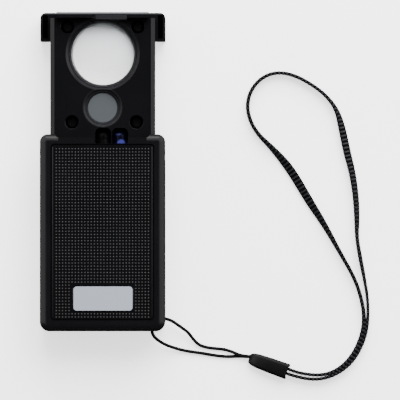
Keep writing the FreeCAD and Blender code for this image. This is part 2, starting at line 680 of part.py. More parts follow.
def screw_places():
    """The four slide screws, each two expressions from the cap and the axis."""
    return [("-top_screw_half", "-top_screw_from_end"), ("top_screw_half", "-top_screw_from_end"),
            ("-low_screw_left", "-low_screw_from_end"), ("low_screw_right", "-low_screw_from_end")]


def slide_block(body, height):
    corners = box_corners("-half_slide", "-slide_length", "half_slide", "-cap_thickness")
    add(body, outline(body, corners), height)
    soften(body, standing_at(*corners[:2]), "slide_corner_radius")


def inner_rectangle(body, level):
    return rectangle(body, "-slide_inner", "-(slide_length - slide_wall)", "slide_inner",
                     "-(cap_thickness + slide_wall)", level=level)


def make_slide_front():
    body = new_body("slide_front", y="slide_end", z="slide_joint")
    slide_block(body, "front_tray_height")
    cut(body, inner_rectangle(body, "0"), "roof_under")
    face = rectangle(body, "-rail_half", "-(slide_length + overrun)", "rail_half", "overrun",
                     level="face_height")
    cut(body, face, "front_tray_height")
    for side in ("-", ""):
        slope = outline(body, [(f"{side}rail_half", "front_tray_height"),
                               (f"{side}half_slide", "front_tray_height - rail_drop"),
                               (f"{side}half_slide", "front_tray_height")],
                        plane="XZ_Plane", level="cap_thickness - overrun")
        cut(body, slope, "slide_length + overrun")
    add(body, circles(body, [(x, y, "screw_boss") for x, y in screw_places()]), "roof_under")
    add(body, circles(body, [("0", "-main_lens_from_end", "main_collar")]), "roof_under")
    past_end = rectangle(body, "-half_slide", "-cap_thickness", "half_slide", "overrun")
    cut(body, past_end, "front_tray_height")
    collar = circles(body, [("0", "-small_lens_from_end", "small_collar")],
                     level="roof_under - small_collar_height")
    add(body, collar, "small_collar_height")
    cut(body, circles(body, [("0", "-main_lens_from_end", "main_bore")]), "front_tray_height")
    barrel = circles(body, [("0", "-small_lens_from_end", "barrel_hole")])
    cut(body, barrel, "roof_under + barrel_seat")
    cut(body, circles(body, [("0", "-small_lens_from_end", "small_well_bore")]),
        "front_tray_height")
    cone_cut(body, "0", "-main_lens_from_end", "face_height - main_well_flare", "main_bore",
             "main_well_mouth", "main_well_flare")
    cone_cut(body, "0", "-small_lens_from_end", "face_height - small_well_flare",
             "small_well_bore", "small_well_mouth", "small_well_flare")
    wells = circles(body, [(x, y, "screw_well") for x, y in screw_places()], level="screw_seat")
    cut(body, wells, "front_tray_height")
    for x, y in screw_places():
        cone_cut(body, x, y, "face_height - well_bevel", "screw_well",
                 "screw_well + well_bevel + well_bevel", "well_bevel")
    cut(body, circles(body, [(x, y, "screw_hole") for x, y in screw_places()]), "screw_seat")
    for middle in ("lamp_left", "lamp_right"):
        cut_lamp_trough(body, middle)
    slot = fin_slot(body, "0")
    cut(body, slot, "slide_back + board_top + fin_height + running_gap - slide_joint")
    return body


def cut_lamp_trough(body, middle):
    corners = box_corners(f"{middle} - trough_width / 2", "-trough_foot",
                          f"{middle} + trough_width / 2", "-trough_head")
    cut(body, outline(body, corners, level="roof_under"), "front_tray_height")
    soften(body, standing_at(*corners[2:]), "trough_corner_radius")


def fin_slot(body, level):
    half = "(fin_thickness / 2 + running_gap)"
    return rectangle(body, f"fin_middle - {half}", "-(slide_length + overrun)",
                     f"fin_middle + {half}", "-(slide_length - slide_wall)", level=level)


def make_slide_rear():
    body = new_body("slide_rear", y="slide_end", z="slide_back")
    slide_block(body, "rear_tray_height")
    cut(body, inner_rectangle(body, "slide_plate"), "rear_tray_height")
    add_cap(body)
    for side in ("-", ""):
        add_wing(body, side)
        add_hook(body, side)
    add_optics_seats(body)
    posts = circles(body, [(x, y, "screw_post") for x, y in screw_places()], level="slide_plate")
    add(body, posts, "rear_tray_height - slide_plate")
    pilots = circles(body, [(x, y, "screw_hole") for x, y in screw_places()],
                     level="screw_tip - fit_gap")
    cut(body, pilots, "rear_tray_height")
    add_battery_bay(body)
    add_board_posts(body)
    cut(body, fin_slot(body, "board_top - running_gap"), "rear_tray_height")
    window = rectangle(body, "-selector_from_axis - knob_width / 2 - fit_gap",
                       "-selector_from_end - knob_slot_half",
                       "-selector_from_axis + knob_width / 2 + fit_gap",
                       "-selector_from_end + knob_slot_half")
    cut(body, window, "slide_plate")
    return body


def add_cap(body):
    """End cap, a low plate as wide as the case with a head between its horns."""
    plate = box_corners("-half_case", "-cap_thickness", "half_case", "0")
    add(body, outline(body, plate, level="wing_bottom"), "wing_top - wing_bottom")
    head = box_corners("-head_half", "-cap_thickness", "head_half", "0")
    add(body, outline(body, head, level="wing_top"), "head_top - wing_top")
    tab = box_corners("-(notch_left - running_gap)", "-(cap_thickness + tab_reach)",
                      "notch_right - running_gap", "-cap_thickness")
    add(body, outline(body, tab, level="slide_thickness"), "head_top - slide_thickness")
    soften(body, standing_at(*tab[:2]), "tab_corner_radius")
    soften(body, far_edge_at("head_top"), "head_edge_radius")
    past_tab = "-(cap_thickness + tab_reach + overrun)"
    slope = outline(body, [(past_tab, "head_top - tab_drop"),
                           ("-(cap_thickness + tab_reach)", "head_top - tab_drop"),
                           ("-tab_from_end", "head_top"), (past_tab, "head_top")],
                    plane="YZ_Plane", level="-(notch_left - running_gap)")
    cut(body, slope, "notch_left + notch_right - running_gap - running_gap")


def add_wing(body, side):
    """Hollow wing of the cap, open towards the front."""
    block = rectangle(body, f"{side}half_slide", "-wing_foot", f"{side}half_case",
                      "-cap_thickness", level="wing_bottom")
    add(body, block, "wing_top - wing_bottom")
    corner = standing_at((f"{side}half_case", "0"))
    soften(body, corner, "cap_corner_radius")
    bevel = outline(body, [("-wing_bevel", "wing_top"), ("0", "wing_top - wing_bevel"),
                           ("0", "wing_top")],
                    plane="YZ_Plane", level="-half_case" if side else "head_half")
    cut(body, bevel, "half_case - head_half")
    hollow = rectangle(body, f"{side}(wing_inner + wing_web)", "-(wing_foot - wing_end_wall)",
                       f"{side}(half_case - wing_wall)", "-wing_end_wall",
                       level="wing_bottom + wing_wall")
    cut(body, hollow, "wing_top - wing_bottom")
    under = rectangle(body, f"{side}half_slide", "-(wing_foot + overrun)", f"{side}wing_inner",
                      "-cap_thickness", level="wing_bottom")
    cut(body, under, "-wing_bottom")


def add_hook(body, side):
    """Catch that stops the slide against the blocks in the case."""
    ramp = [(f"{side}half_slide", "-hook_head"), (f"{side}hook_outer", "-hook_head"),
            (f"{side}hook_outer", "-(hook_head + hook_length / 2)"),
            (f"{side}half_slide", "-hook_foot")]
    add(body, outline(body, ramp, level="rear_tray_height - hook_height"), "hook_height")


def add_optics_seats(body):
    main = "-main_lens_from_end"
    small = "-small_lens_from_end"
    add(body, circles(body, [("0", main, "main_collar")], level="slide_plate"),
        "rear_tray_height - slide_plate")
    add(body, circles(body, [("0", small, "small_collar")], level="slide_plate"),
        "small_collar_height")
    cut(body, circles(body, [("0", main, "main_bore")], level="main_seat"), "rear_tray_height")
    cut(body, circles(body, [("0", main, "main_aperture")], level="slide_plate"),
        "rear_tray_height")
    cut(body, circles(body, [("0", main, "eye_opening")]), "rear_tray_height")
    cut(body, circles(body, [("0", small, "barrel_hole")], level="barrel_level"),
        "rear_tray_height")
    cut(body, circles(body, [("0", small, "small_eye_opening")]), "rear_tray_height")
    cone_cut(body, "0", main, "0", "eye_opening + eye_bevel + eye_bevel", "eye_opening",
             "eye_bevel")
    cone_cut(body, "0", small, "0", "small_eye_opening + eye_bevel", "small_eye_opening",
             "eye_bevel / 2")


def add_battery_bay(body):
    """Round bay for the cells, with two snap lips and a slot for the contact."""
    middle = "-bay_from_end"
    outer = "bay_bore + bay_wall + bay_wall"
    add(body, circles(body, [("0", middle, outer)], level="slide_plate"), "bay_wall_height")
    cut(body, circles(body, [("0", middle, "bay_bore")]), "slide_plate + bay_wall_height")
    for side in ("-", ""):
        lip = rectangle(body, f"{side}(bay_bore / 2 + bay_wall / 2)", f"{middle} - bay_lip_width / 2",
                        f"{side}(cell_diameter / 2 - bay_lip)", f"{middle} + bay_lip_width / 2")
        add(body, lip, "bay_lip_height")
    slot = rectangle(body, "-(bay_bore / 2 + bay_wall + fit_gap)", f"{middle} - bay_slot / 2",
                     "-(bay_bore / 2 - bay_wall)", f"{middle} + bay_slot / 2",
                     level="slide_plate")
    cut(body, slot, "bay_wall_height")


def board_post_places():
    return [("-(arm_right + board_post_inset)", "-(arm_head + board_post_inset)"),
            ("-(board_left - board_post_inset)", "-(board_foot - board_post_inset)"),
            ("board_half - board_post_inset", "-(board_foot - board_post_inset)"),
            ("-(board_left - board_post_inset)", "-(leg_foot - board_post_inset)")]


def add_board_posts(body):
    posts = circles(body, [(x, y, "board_post") for x, y in board_post_places()],
                    level="slide_plate")
    add(body, posts, "board_level - slide_plate")
    reach = "(power_leaf_gap / 2 + leaf_thickness + leaf_block_margin)"
    low = "-(slide_length - leaf_block_from_foot)"
    block = rectangle(body, f"fin_middle - {reach}", low, f"fin_middle + {reach}",
                      f"{low} + leaf_block_length", level="slide_plate")
    add(body, block, "board_top - slide_plate")


def solid(kind, x="0", y="0", z="0", **lengths):
    """A plain solid whose sizes and place are bound to the sheets."""
    shape = doc.addObject(f"Part::{kind}", kind.lower())
    for name, text in lengths.items():
        shape.setExpression(name, bound(text))
    return put(shape, x, y, z)


def fused(label, pieces, y="slide_end", z="slide_back"):
    whole = doc.addObject("Part::MultiFuse", label)
    whole.Shapes = pieces
    return finish(put(whole, y=y, z=z), label)


def lens_dome(radius, diameter, level, upward=True):
    """Cap of a sphere that stands on a level plane."""
    rise = f"(({radius}) * ({radius}) - ({diameter}) * ({diameter}) / 4) ^ (1 / 2)"
    centre = f"{level} - {rise}" if upward else f"{level} + {rise}"
    ball = solid("Sphere", z=centre, Radius=radius)
    start = level if upward else f"{level} - {radius}"
    column = solid("Cylinder", z=start, Radius=f"({diameter}) / 2", Height=radius)
    dome = doc.addObject("Part::Common", "dome")
    dome.Base = ball
    dome.Tool = column
    return dome


def make_main_lens():
    rim = solid("Cylinder", Radius="main_lens_diameter / 2", Height="main_lens_edge")
    front = lens_dome("main_lens_radius", "main_lens_dome", "main_lens_edge")
    back = lens_dome("main_lens_radius", "main_lens_dome", "0", upward=False)
    return fused("main_lens", [rim, front, back], y="slide_end - main_lens_from_end",
                 z="slide_back + main_seat")


def make_main_lens_ring():
    body = new_body("main_lens_ring", y="slide_end - main_lens_from_end",
                    z="slide_back + ring_level")
    sketch = circles(body, [("0", "0", "main_lens_diameter"), ("0", "0", "main_aperture")])
    add(body, sketch, "ring_height")
    cone_cut(body, "0", "0", "ring_height - ring_bevel", "main_aperture",
             "main_aperture + ring_bevel + ring_bevel", "ring_bevel")
    return body


def make_small_barrel():
    body = new_body("small_barrel", y="slide_end - small_lens_from_end",
                    z="slide_back + barrel_level")
    add(body, circles(body, [("0", "0", "barrel_diameter")]), "barrel_height")
    cut(body, circles(body, [("0", "0", "barrel_bore")]), "barrel_height - barrel_lip")
    cut(body, circles(body, [("0", "0", "small_aperture")]), "barrel_height")
    cone_cut(body, "0", "0", "barrel_height - lip_bevel", "small_aperture",
             "small_aperture + lip_bevel + lip_bevel", "lip_bevel")
    return body


def make_small_lenses():
    """Two lenses face each other across a spacer, under the barrel's lip."""
    seat = "slide_back + barrel_level + barrel_height - barrel_lip"
    across = "small_lens_across"
    spot = "slide_end - small_lens_from_end"
    rim = solid("Cylinder", Radius=f"({across}) / 2", Height="small_lens_edge")
    dome = lens_dome("small_lens_radius", "small_lens_dome", "0", upward=False)
    front = fused("small_lens_front", [rim, dome], y=spot, z=f"{seat} - small_lens_edge")
    body = new_body("small_lens_spacer", y=spot, z=f"{seat} - small_lens_edge - spacer_height")
    add(body, circles(body, [("0", "0", across), ("0", "0", "small_lens_dome")]),
        "spacer_height")
    rim = solid("Cylinder", Radius=f"({across}) / 2", Height="small_lens_edge")
    dome = lens_dome("small_lens_radius", "small_lens_dome", "small_lens_edge")
    rear = fused("small_lens_rear", [rim, dome], y=spot,
                 z=f"{seat} - small_lens_edge - spacer_height - small_lens_edge")
    return [front, body, rear]


def make_lamp(label, middle):
    """Round lamp that lies along the slide, with its two leads bent to the board."""
    radius = "lamp_diameter / 2"
    barrel = solid("Cylinder", x=middle, y=f"-lamp_tip_from_end - {radius}", z="lamp_axis",
                   Radius=radius, Height=f"lamp_length - {radius}")
    barrel.Placement.Rotation = FreeCAD.Rotation(FreeCAD.Vector(1, 0, 0), 90)
    tip = solid("Sphere", x=middle, y=f"-lamp_tip_from_end - {radius}", z="lamp_axis",
                Radius=radius)
    pieces = [barrel, tip]
    for side in ("-", "+"):
        lead = solid("Box", x=f"{middle} {side} lamp_lead_spacing / 2 - lamp_lead / 2",
                     y="-lamp_tip_from_end - lamp_length - lamp_lead", z="board_top",
                     Length="lamp_lead", Width="lamp_lead",
                     Height="lamp_axis - board_top")
        pieces.append(lead)
    return fused(label, pieces)


def make_circuit_board():
    body = new_body("circuit_board", y="slide_end", z="slide_back + board_level")
    corners = [("-board_left", "-leg_foot"), ("-leg_right", "-leg_foot"),
               ("-leg_right", "-board_foot"), ("board_half", "-board_foot"),
               ("board_half", "-board_head"), ("-arm_right", "-board_head"),
               ("-arm_right", "-arm_head"), ("-board_left", "-arm_head")]
    add(body, outline(body, corners), "board_thickness")
    cut(body, circles(body, [("-low_screw_left", "-low_screw_from_end", "board_hole")]),
        "board_thickness")
    return body


def make_resistors():
    pieces = []
    for row in range(2):
        drop = f"-resistor_from_end - resistor_pitch * {row}"
        bead = solid("Cylinder", x="-resistor_from_axis - resistor_length / 2", y=drop,
                     z="board_top + resistor_diameter / 2", Radius="resistor_diameter / 2",
                     Height="resistor_length")
        bead.Placement.Rotation = FreeCAD.Rotation(FreeCAD.Vector(0, 1, 0), 90)
        leads = []
        for side in ("- resistor_length / 2 - resistor_lead", "+ resistor_length / 2"):
            leads.append(solid("Box", x=f"-resistor_from_axis {side}",
                               y=f"{drop} - resistor_lead / 2", z="board_top",
                               Length="resistor_lead", Width="resistor_lead",
                               Height="resistor_diameter / 2 + resistor_lead / 2"))
        bundle = doc.addObject("Part::MultiFuse", "resistor")
        bundle.Shapes = [bead] + leads
        pieces.append(bundle)
    group = doc.addObject("Part::Compound", "resistors")
    group.Links = pieces
    return finish(put(group, y="slide_end", z="slide_back"), "resistors")


def make_cells():
    """Three stacked button cells, the stepped negative faces towards the front."""
    cells = []
    for number in range(3):
        level = f"slide_back + bay_lip_height + cell_height * {number}"
        body = new_body(f"button_cell_{number + 1}", y="slide_end - bay_from_end", z=level)
        add(body, circles(body, [("0", "0", "cell_diameter")]), "cell_height - cell_step")
        add(body, circles(body, [("0", "0", "cell_cap_diameter")], level="cell_height - cell_step"),
            "cell_step")
        cells.append(body)
    return cells


def make_contacts():
    """Brass springs at the side of the cells and over them."""
    edge = "(cell_diameter / 2 + fit_gap)"
    strip = solid("Box", x=f"-{edge} - leaf_thickness", y="-bay_from_end - side_leaf_width / 2",
                  z="slide_plate + fit_gap", Length="leaf_thickness", Width="side_leaf_width",
                  Height="board_top + leaf_thickness - slide_plate - fit_gap")
    foot = solid("Box", x=f"-{edge} - side_leaf_foot", y="-bay_from_end - side_leaf_width / 2",
                 z="board_top", Length="side_leaf_foot", Width="side_leaf_width",
                 Height="leaf_thickness")
    side = fused("side_contact", [strip, foot])
    top = "roof_level - leaf_thickness"
    disc = solid("Cylinder", y="-bay_from_end", z=top, Radius="top_leaf_width / 2",
                 Height="leaf_thickness")
    tail = solid("Box", x="-top_leaf_tail", y="-bay_from_end - side_leaf_width / 2", z=top,
                 Length="top_leaf_tail", Width="side_leaf_width", Height="leaf_thickness")
    dimple = solid("Cylinder", y="-bay_from_end", z="cells_top", Radius="top_leaf_dimple / 2",
                   Height=f"{top} - cells_top")
    leg = solid("Box", x="-top_leaf_tail", y="-bay_from_end - side_leaf_width / 2",
                z="board_top", Length="leaf_thickness", Width="side_leaf_width",
                Height=f"{top} - board_top")
    return [side, fused("top_contact", [disc, tail, dimple, leg])]


def make_power_leaves():
    """Two brass leaves that the fin in the case parts when the slide is in."""
    leaves = []
    places = {"power_leaf": "fin_middle - power_leaf_gap / 2 - leaf_thickness",
              "power_contact": "fin_middle + power_leaf_gap / 2"}
    for label, x in places.items():
        body = new_body(label, x=x, y="slide_end - slide_length + power_leaf_from_foot",
                        z="slide_back + board_top")
        add(body, rectangle(body, "0", "0", "leaf_thickness", "power_leaf_length"),
            "leaf_height")
        leaves.append(body)
    return leaves


def make_selector():
    switch = new_body("selector_switch", x="-selector_from_axis", y="slide_end - selector_from_end",
                      z="slide_back + slide_plate + knob_flange_height + fit_gap")
    half = "selector_body_width / 2"
    reach = "selector_body_length / 2"
    add(switch, rectangle(switch, f"-{half}", f"-{reach}", half, reach),
        "board_level - slide_plate - knob_flange_height - fit_gap")
    knob = new_body("selector_knob", x="-selector_from_axis", y="slide_end - knob_rest",
                    z="slide_back + knob_sink")
    add(knob, rectangle(knob, "-knob_width / 2", "-knob_length / 2", "knob_width / 2",
                        "knob_length / 2"), "slide_plate - knob_sink + fit_gap / 2")
    flange = rectangle(knob, "-(knob_width / 2 + knob_flange)", "-(knob_length / 2 + knob_flange)",
                       "knob_width / 2 + knob_flange", "knob_length / 2 + knob_flange",
                       level="slide_plate - knob_sink + fit_gap / 2")
    add(knob, flange, "knob_flange_height - fit_gap / 2")
    grooves = new_sketch(knob, "XY_Plane", "0")
    for step in (-1, 0, 1):
        low = f"knob_groove_pitch * {step} - knob_groove / 2"
        add_outline(grooves, box_corners("-(knob_width / 2 + fit_gap)", low,
                                         "knob_width / 2 + fit_gap", f"{low} + knob_groove"))
    cut(knob, grooves, "knob_groove_depth")
    return [switch, knob]


def make_slide_screws():
    screws = []
    for x, y in screw_places():
        shank = solid("Cylinder", x=x, y=y, z="screw_tip", Radius="screw_shank / 2",
                      Height="screw_grip")
        screw_top = "rear_tray_height + screw_seat"
        screw = solid("Cylinder", x=x, y=y, z=screw_top, Radius="screw_head / 2",
                      Height="screw_head_height")
        whole = doc.addObject("Part::Fuse", "screw")
        whole.Base = shank
        whole.Tool = screw
        screws.append(whole)
    group = doc.addObject("Part::Compound", "slide_screws")
    group.Links = screws
    return finish(put(group, y="slide_end", z="slide_back"), "slide_screws")


# Route of the cord loop from the clip to the foot wall, through the corner of
# the case and back from the side wall to the clip.
CORD_POINTS = [
    (42.6, -58.3, 1.2),
    (38.6, -58.3, 0.6),
    (34.2, -57.8, 0.45),
    (30.4, -57.0, 0.5),
    (26.4, -56.4, 0.8),
    (22.9, -55.5, 1.5),
    (19.7, -54.3, 2.5),
    (17.4, -53.0, 3.5),
    (15.7, -51.6, 4.3),
    (15.2, -49.6, 4.5),
    (15.5, -47.9, 4.5),
    (17.3, -46.4, 4.5),
    (19.3, -46.1, 4.5),
    (21.4, -46.8, 4.2),
    (23.3, -48.1, 3.6),
    (25.5, -49.7, 2.7),
    (27.6, -51.8, 1.8),
    (29.7, -53.7, 1.1),
    (31.9, -55.0, 0.6),
    (34.8, -55.6, 0.45),
    (37.9, -55.9, 0.5),
    (40.6, -56.5, 0.9),
    (43.2, -57.3, 1.4),
]

# Route of the woven strap, on edge, from the clip round the loop and back.
STRAP_POINTS = [
    (60.6, -63.1),
    (64.0, -63.9),
    (67.4, -64.2),
    (70.5, -63.8),
    (73.5, -62.6),
    (76.5, -60.4),
    (78.9, -57.4),
    (80.6, -54.2),
    (81.8, -50.6),
    (82.3, -46.7),
    (81.8, -41.5),
    (79.5, -33.9),
    (74.5, -25.2),
    (69.6, -16.4),
    (64.9, -9.2),
    (59.1, 0.8),
    (53.4, 7.4),
    (48.3, 12.3),
    (45.7, 17.6),
    (45.4, 22.5),
    (47.2, 27.0),
    (50.8, 30.3),
    (55.2, 31.5),
    (60.3, 30.5),
    (65.4, 27.8),
    (70.1, 24.3),
    (73.6, 19.8),
    (75.3, 13.9),
    (76.7, 6.8),
    (78.6, -0.4),
    (79.7, -8.2),
    (80.0, -15.1),
    (79.9, -21.4),
    (81.1, -27.4),
    (82.4, -34.0),
    (83.4, -40.0),
    (83.5, -46.4),
    (82.9, -50.9),
    (81.6, -54.6),
    (79.8, -58.1),
    (77.2, -61.2),
    (74.0, -63.5),
    (70.7, -64.9),
    (67.4, -65.3),
    (64.0, -65.1),
    (60.3, -64.3),
]

# Share of the shorter run that an arc takes at each point of a route, and the
# shares of the clip's width at which the ends of the cord and strap leave it.
ARC_SHARE = 0.45
CORD_END_SHARE = 0.25
STRAP_END_SHARE = 0.14


def clip_point(along, across, height):
    """A point in the clip's own directions."""
    turn = math.radians(value("clip_turn"))
    x = value("clip_nose_x") + along * math.cos(turn) - across * math.sin(turn)
    y = value("clip_nose_y") + along * math.sin(turn) + across * math.cos(turn)
    return (x, y, height)


def rounded_route(label, points):
    """Join straight runs with tangent arcs and print how tight they are."""
    route = [FreeCAD.Vector(*point) for point in points]
    edges = []
    radii = []
    start = route[0]
    for before, corner, after in zip(route, route[1:], route[2:]):
        back = before - corner
        ahead = after - corner
        half_turn = (math.pi - back.getAngle(ahead)) / 2
        reach = ARC_SHARE * min(back.Length, ahead.Length)
        radius = reach / math.tan(half_turn)
        back.normalize()
        ahead.normalize()
        first = corner + back * reach
        last = corner + ahead * reach
        inward = back + ahead
        inward.normalize()
        middle = corner + inward * (radius / math.cos(half_turn) - radius)
        edges.append(Part.LineSegment(start, first).toShape())
        edges.append(Part.Arc(first, middle, last).toShape())
        radii.append(radius)
        start = last
    edges.append(Part.LineSegment(start, route[-1]).toShape())
    wire = Part.Wire(edges)
    print(label, "length", round(wire.Length, 1), "radii", [round(r, 1) for r in radii])
    return wire


def swept(label, wire, section, upright=False):
    """Sweep a closed section along a route and compare the volume."""
    shell = Part.BRepOffsetAPI.MakePipeShell(wire)
    if upright:
        shell.setBiNormalMode(FreeCAD.Vector(0, 0, 1))
    shell.add(section, False, False)
    shell.build()
    shell.makeSolid()
    shape = shell.shape()
    area = Part.Face(section).Area
    print(label, "volume", round(shape.Volume, 1), "section by length", round(area * wire.Length, 1))
    piece = doc.addObject("Part::Feature", label)
    piece.Shape = shape
    return finish(piece, label)


def make_cord_loop():
    legs = value("clip_nose_width") * CORD_END_SHARE
    nose = value("clip_nose_height") / 2 + value("running_gap")
    gap = -value("fit_gap")
    points = [clip_point(gap, -legs, nose)] + CORD_POINTS + [clip_point(gap, legs, nose)]
    wire = rounded_route("cord_loop", points)
    start = FreeCAD.Vector(*points[0])
    along = FreeCAD.Vector(*points[1]) - start
    section = Part.Wire([Part.Circle(start, along, value("cord_diameter") / 2).toShape()])
    return swept("cord_loop", wire, section)


def make_strap_webbing():
    height = value("strap_width") / 2 + value("strap_lift")
    spread = value("clip_width") * STRAP_END_SHARE
    length = value("clip_length") + value("fit_gap")
    points = [clip_point(length, spread, height)]
    points += [(x, y, height) for x, y in STRAP_POINTS]
    points.append(clip_point(length, -spread, height))
    wire = rounded_route("strap_webbing", points)
    start = FreeCAD.Vector(*points[0])
    along = FreeCAD.Vector(*points[1]) - start
    along.normalize()
    side = FreeCAD.Vector(0, 0, 1).cross(along) * (value("strap_thickness") / 2)
    rise = FreeCAD.Vector(0, 0, value("strap_width") / 2)
    corners = [start + side + rise, start - side + rise, start - side - rise, start + side - rise]
    section = Part.makePolygon(corners + corners[:1])
    return swept("strap_webbing", wire, section, upright=True)


def clip_section(body, level, width, low, high):
    """Bevelled upright section of the clip, at a distance from its nose."""
    half = f"({width} / 2)"
    inner = f"({half} - clip_bevel)"
    corners = [(f"-{half}", f"{low} + clip_bevel"), (f"-{inner}", low), (inner, low),
               (half, f"{low} + clip_bevel"), (half, f"{high} - clip_bevel"), (inner, high),
               (f"-{inner}", high), (f"-{half}", f"{high} - clip_bevel")]
    return outline(body, corners, plane="YZ_Plane", level=level)


def make_strap_clip():
    body = new_body("strap_clip", x="clip_nose_x", y="clip_nose_y")
    body.setExpression("Placement.Rotation.Angle", bound("clip_turn"))
    nose = clip_section(body, "0", "clip_nose_width", "running_gap",
                        "running_gap + clip_nose_height")
    end = clip_section(body, "clip_length", "clip_width", "0", "clip_height")
    loft = body.newObject("PartDesign::AdditiveLoft", "loft")
    loft.Profile = nose
    loft.Sections = [end]
    loft.Ruled = True
    doc.recompute()
    return body


def check_document():
    """Stop if any object failed, or any sub-part has no sound shape."""
    for piece in doc.Objects:
        if "Invalid" in piece.State or "Error" in piece.State:
            raise ValueError(f"{piece.Label} failed: {piece.State}")
    for piece in PIECES:
        if piece.Shape.isNull() or not piece.Shape.isValid():
            raise ValueError(f"{piece.Label} has no sound shape")


def write_parts():
    for piece in PIECES:
        piece.Shape.exportStep(f"parts/{piece.Label}.step")
        solids = len(piece.Shape.Solids)
        print(piece.Label, "solids", solids, "volume", round(piece.Shape.Volume, 2))


fill_sheets()
PIECES = [make_front_shell(), make_rear_shell(), make_grip_panel(), make_badge_plate(),
          make_battery_hatch(), make_slide_front(), make_slide_rear(), make_main_lens(),
          make_main_lens_ring(), make_small_barrel()]
PIECES += make_small_lenses()
PIECES += [make_lamp("white_lamp", "lamp_left"), make_lamp("violet_lamp", "lamp_right"),
           make_circuit_board(), make_resistors()]
PIECES += make_cells() + make_contacts() + make_power_leaves() + make_selector()
PIECES += [make_slide_screws(), make_cord_loop(), make_strap_clip(), make_strap_webbing()]
doc.recompute()
check_document()
write_parts()
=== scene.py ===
import math

import bmesh
import bpy
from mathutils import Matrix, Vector


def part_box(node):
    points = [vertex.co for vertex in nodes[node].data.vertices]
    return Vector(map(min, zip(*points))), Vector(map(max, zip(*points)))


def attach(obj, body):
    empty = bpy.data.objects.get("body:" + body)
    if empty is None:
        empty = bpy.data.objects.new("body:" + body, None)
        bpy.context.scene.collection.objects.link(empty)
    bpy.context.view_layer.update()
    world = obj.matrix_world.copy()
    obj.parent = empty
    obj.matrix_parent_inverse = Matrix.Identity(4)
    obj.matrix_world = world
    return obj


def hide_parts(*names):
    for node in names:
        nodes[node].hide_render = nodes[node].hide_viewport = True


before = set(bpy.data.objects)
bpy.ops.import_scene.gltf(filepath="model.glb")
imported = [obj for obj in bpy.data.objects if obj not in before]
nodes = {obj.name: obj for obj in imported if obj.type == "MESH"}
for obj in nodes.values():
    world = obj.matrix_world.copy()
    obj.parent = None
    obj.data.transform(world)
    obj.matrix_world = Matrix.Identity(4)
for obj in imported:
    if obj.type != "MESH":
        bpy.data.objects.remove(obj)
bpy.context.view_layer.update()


# Table, lights and camera. The instrument lies on a pale matt table top, seen
# from straight above through a long lens. A broad soft light beyond the far edge
# casts the shadows. Glossy faces mirror a low strip light and a tent of pale
# cloth that is dark overhead and on the near side and dim below, so that flat
# faces stay dark and sides and edges shine. They don't mirror the table, which
# would turn the rims of the black pieces white.

def linear(hex_colour):
    """Turn an sRGB hex colour into linear light."""
    shares = [int(hex_colour[at:at + 2], 16) / 255 for at in (1, 3, 5)]
    return [s / 12.92 if s <= 0.04045 else ((s + 0.055) / 1.055) ** 2.4 for s in shares] + [1.0]


def add_node(finish, kind, links=None, **settings):
    """Add one node to a material, with its settings, socket values and links."""
    made = finish.node_tree.nodes.new(kind)
    for name, setting in settings.items():
        setattr(made, name, setting)
    for name, source in (links or {}).items():
        if isinstance(source, bpy.types.NodeSocket):
            finish.node_tree.links.new(source, made.inputs[name])
        else:
            made.inputs[name].default_value = source
    return made


def new_finish(name, colour, roughness, **sockets):
    """Start a material from a colour and a gloss, and return it with its shader."""
    finish = bpy.data.materials.new(name)
    finish.use_nodes = True
    skin = finish.node_tree.nodes["Principled BSDF"]
    skin.inputs["Base Color"].default_value = linear(colour)
    skin.inputs["Roughness"].default_value = roughness
    for socket, setting in sockets.items():
        skin.inputs[socket.replace("_", " ")].default_value = setting
    return finish, skin


def paint(piece, finish):
    """Give a piece one material."""
    piece.data.materials.clear()
    piece.data.materials.append(finish)


def ramp(finish, source, start, end, low, high):
    """Turn a value that runs from start to end into one that runs from low to high."""
    made = add_node(finish, "ShaderNodeMapRange", {"Value": source, "From Min": start,
                                                   "From Max": end, "To Min": low,
                                                   "To Max": high})
    return made.outputs["Result"]


def reckon(finish, operation, *terms):
    """Work out one value from others."""
    made = add_node(finish, "ShaderNodeMath", dict(enumerate(terms)), operation=operation)
    return made.outputs["Value"]


bpy.ops.object.select_all(action="DESELECT")
bpy.ops.mesh.primitive_plane_add(size=3.0)
table = bpy.context.object
table.name = "table_top"
# Matt laminate: an even pale sheet without a sheen. It glows a little, so that it
# stays nearly as white as the ground of the photograph.
table_finish = new_finish("matt_table_laminate", "#f6f6f6", 0.9,
                          Emission_Color=linear("#ffffff"), Emission_Strength=1.6)[0]
paint(table, table_finish)
table.visible_glossy = False

lit_spot = Vector((0.03, -0.01, 0.0))
for name, place, size, power, not_seen_by in (
        ("far_light", (0.18, 0.60, 0.55), 0.8, 30.0, "visible_glossy"),
        ("strip_light", (0.03, 1.1, 0.42), 0.6, 3.0, "visible_diffuse")):
    bpy.ops.object.light_add(type="AREA", location=place)
    light = bpy.context.object
    light.name = name
    light.data.size = size
    light.data.energy = power
    setattr(light, not_seen_by, False)
    light.rotation_euler = (lit_spot - light.location).to_track_quat("-Z", "Y").to_euler()

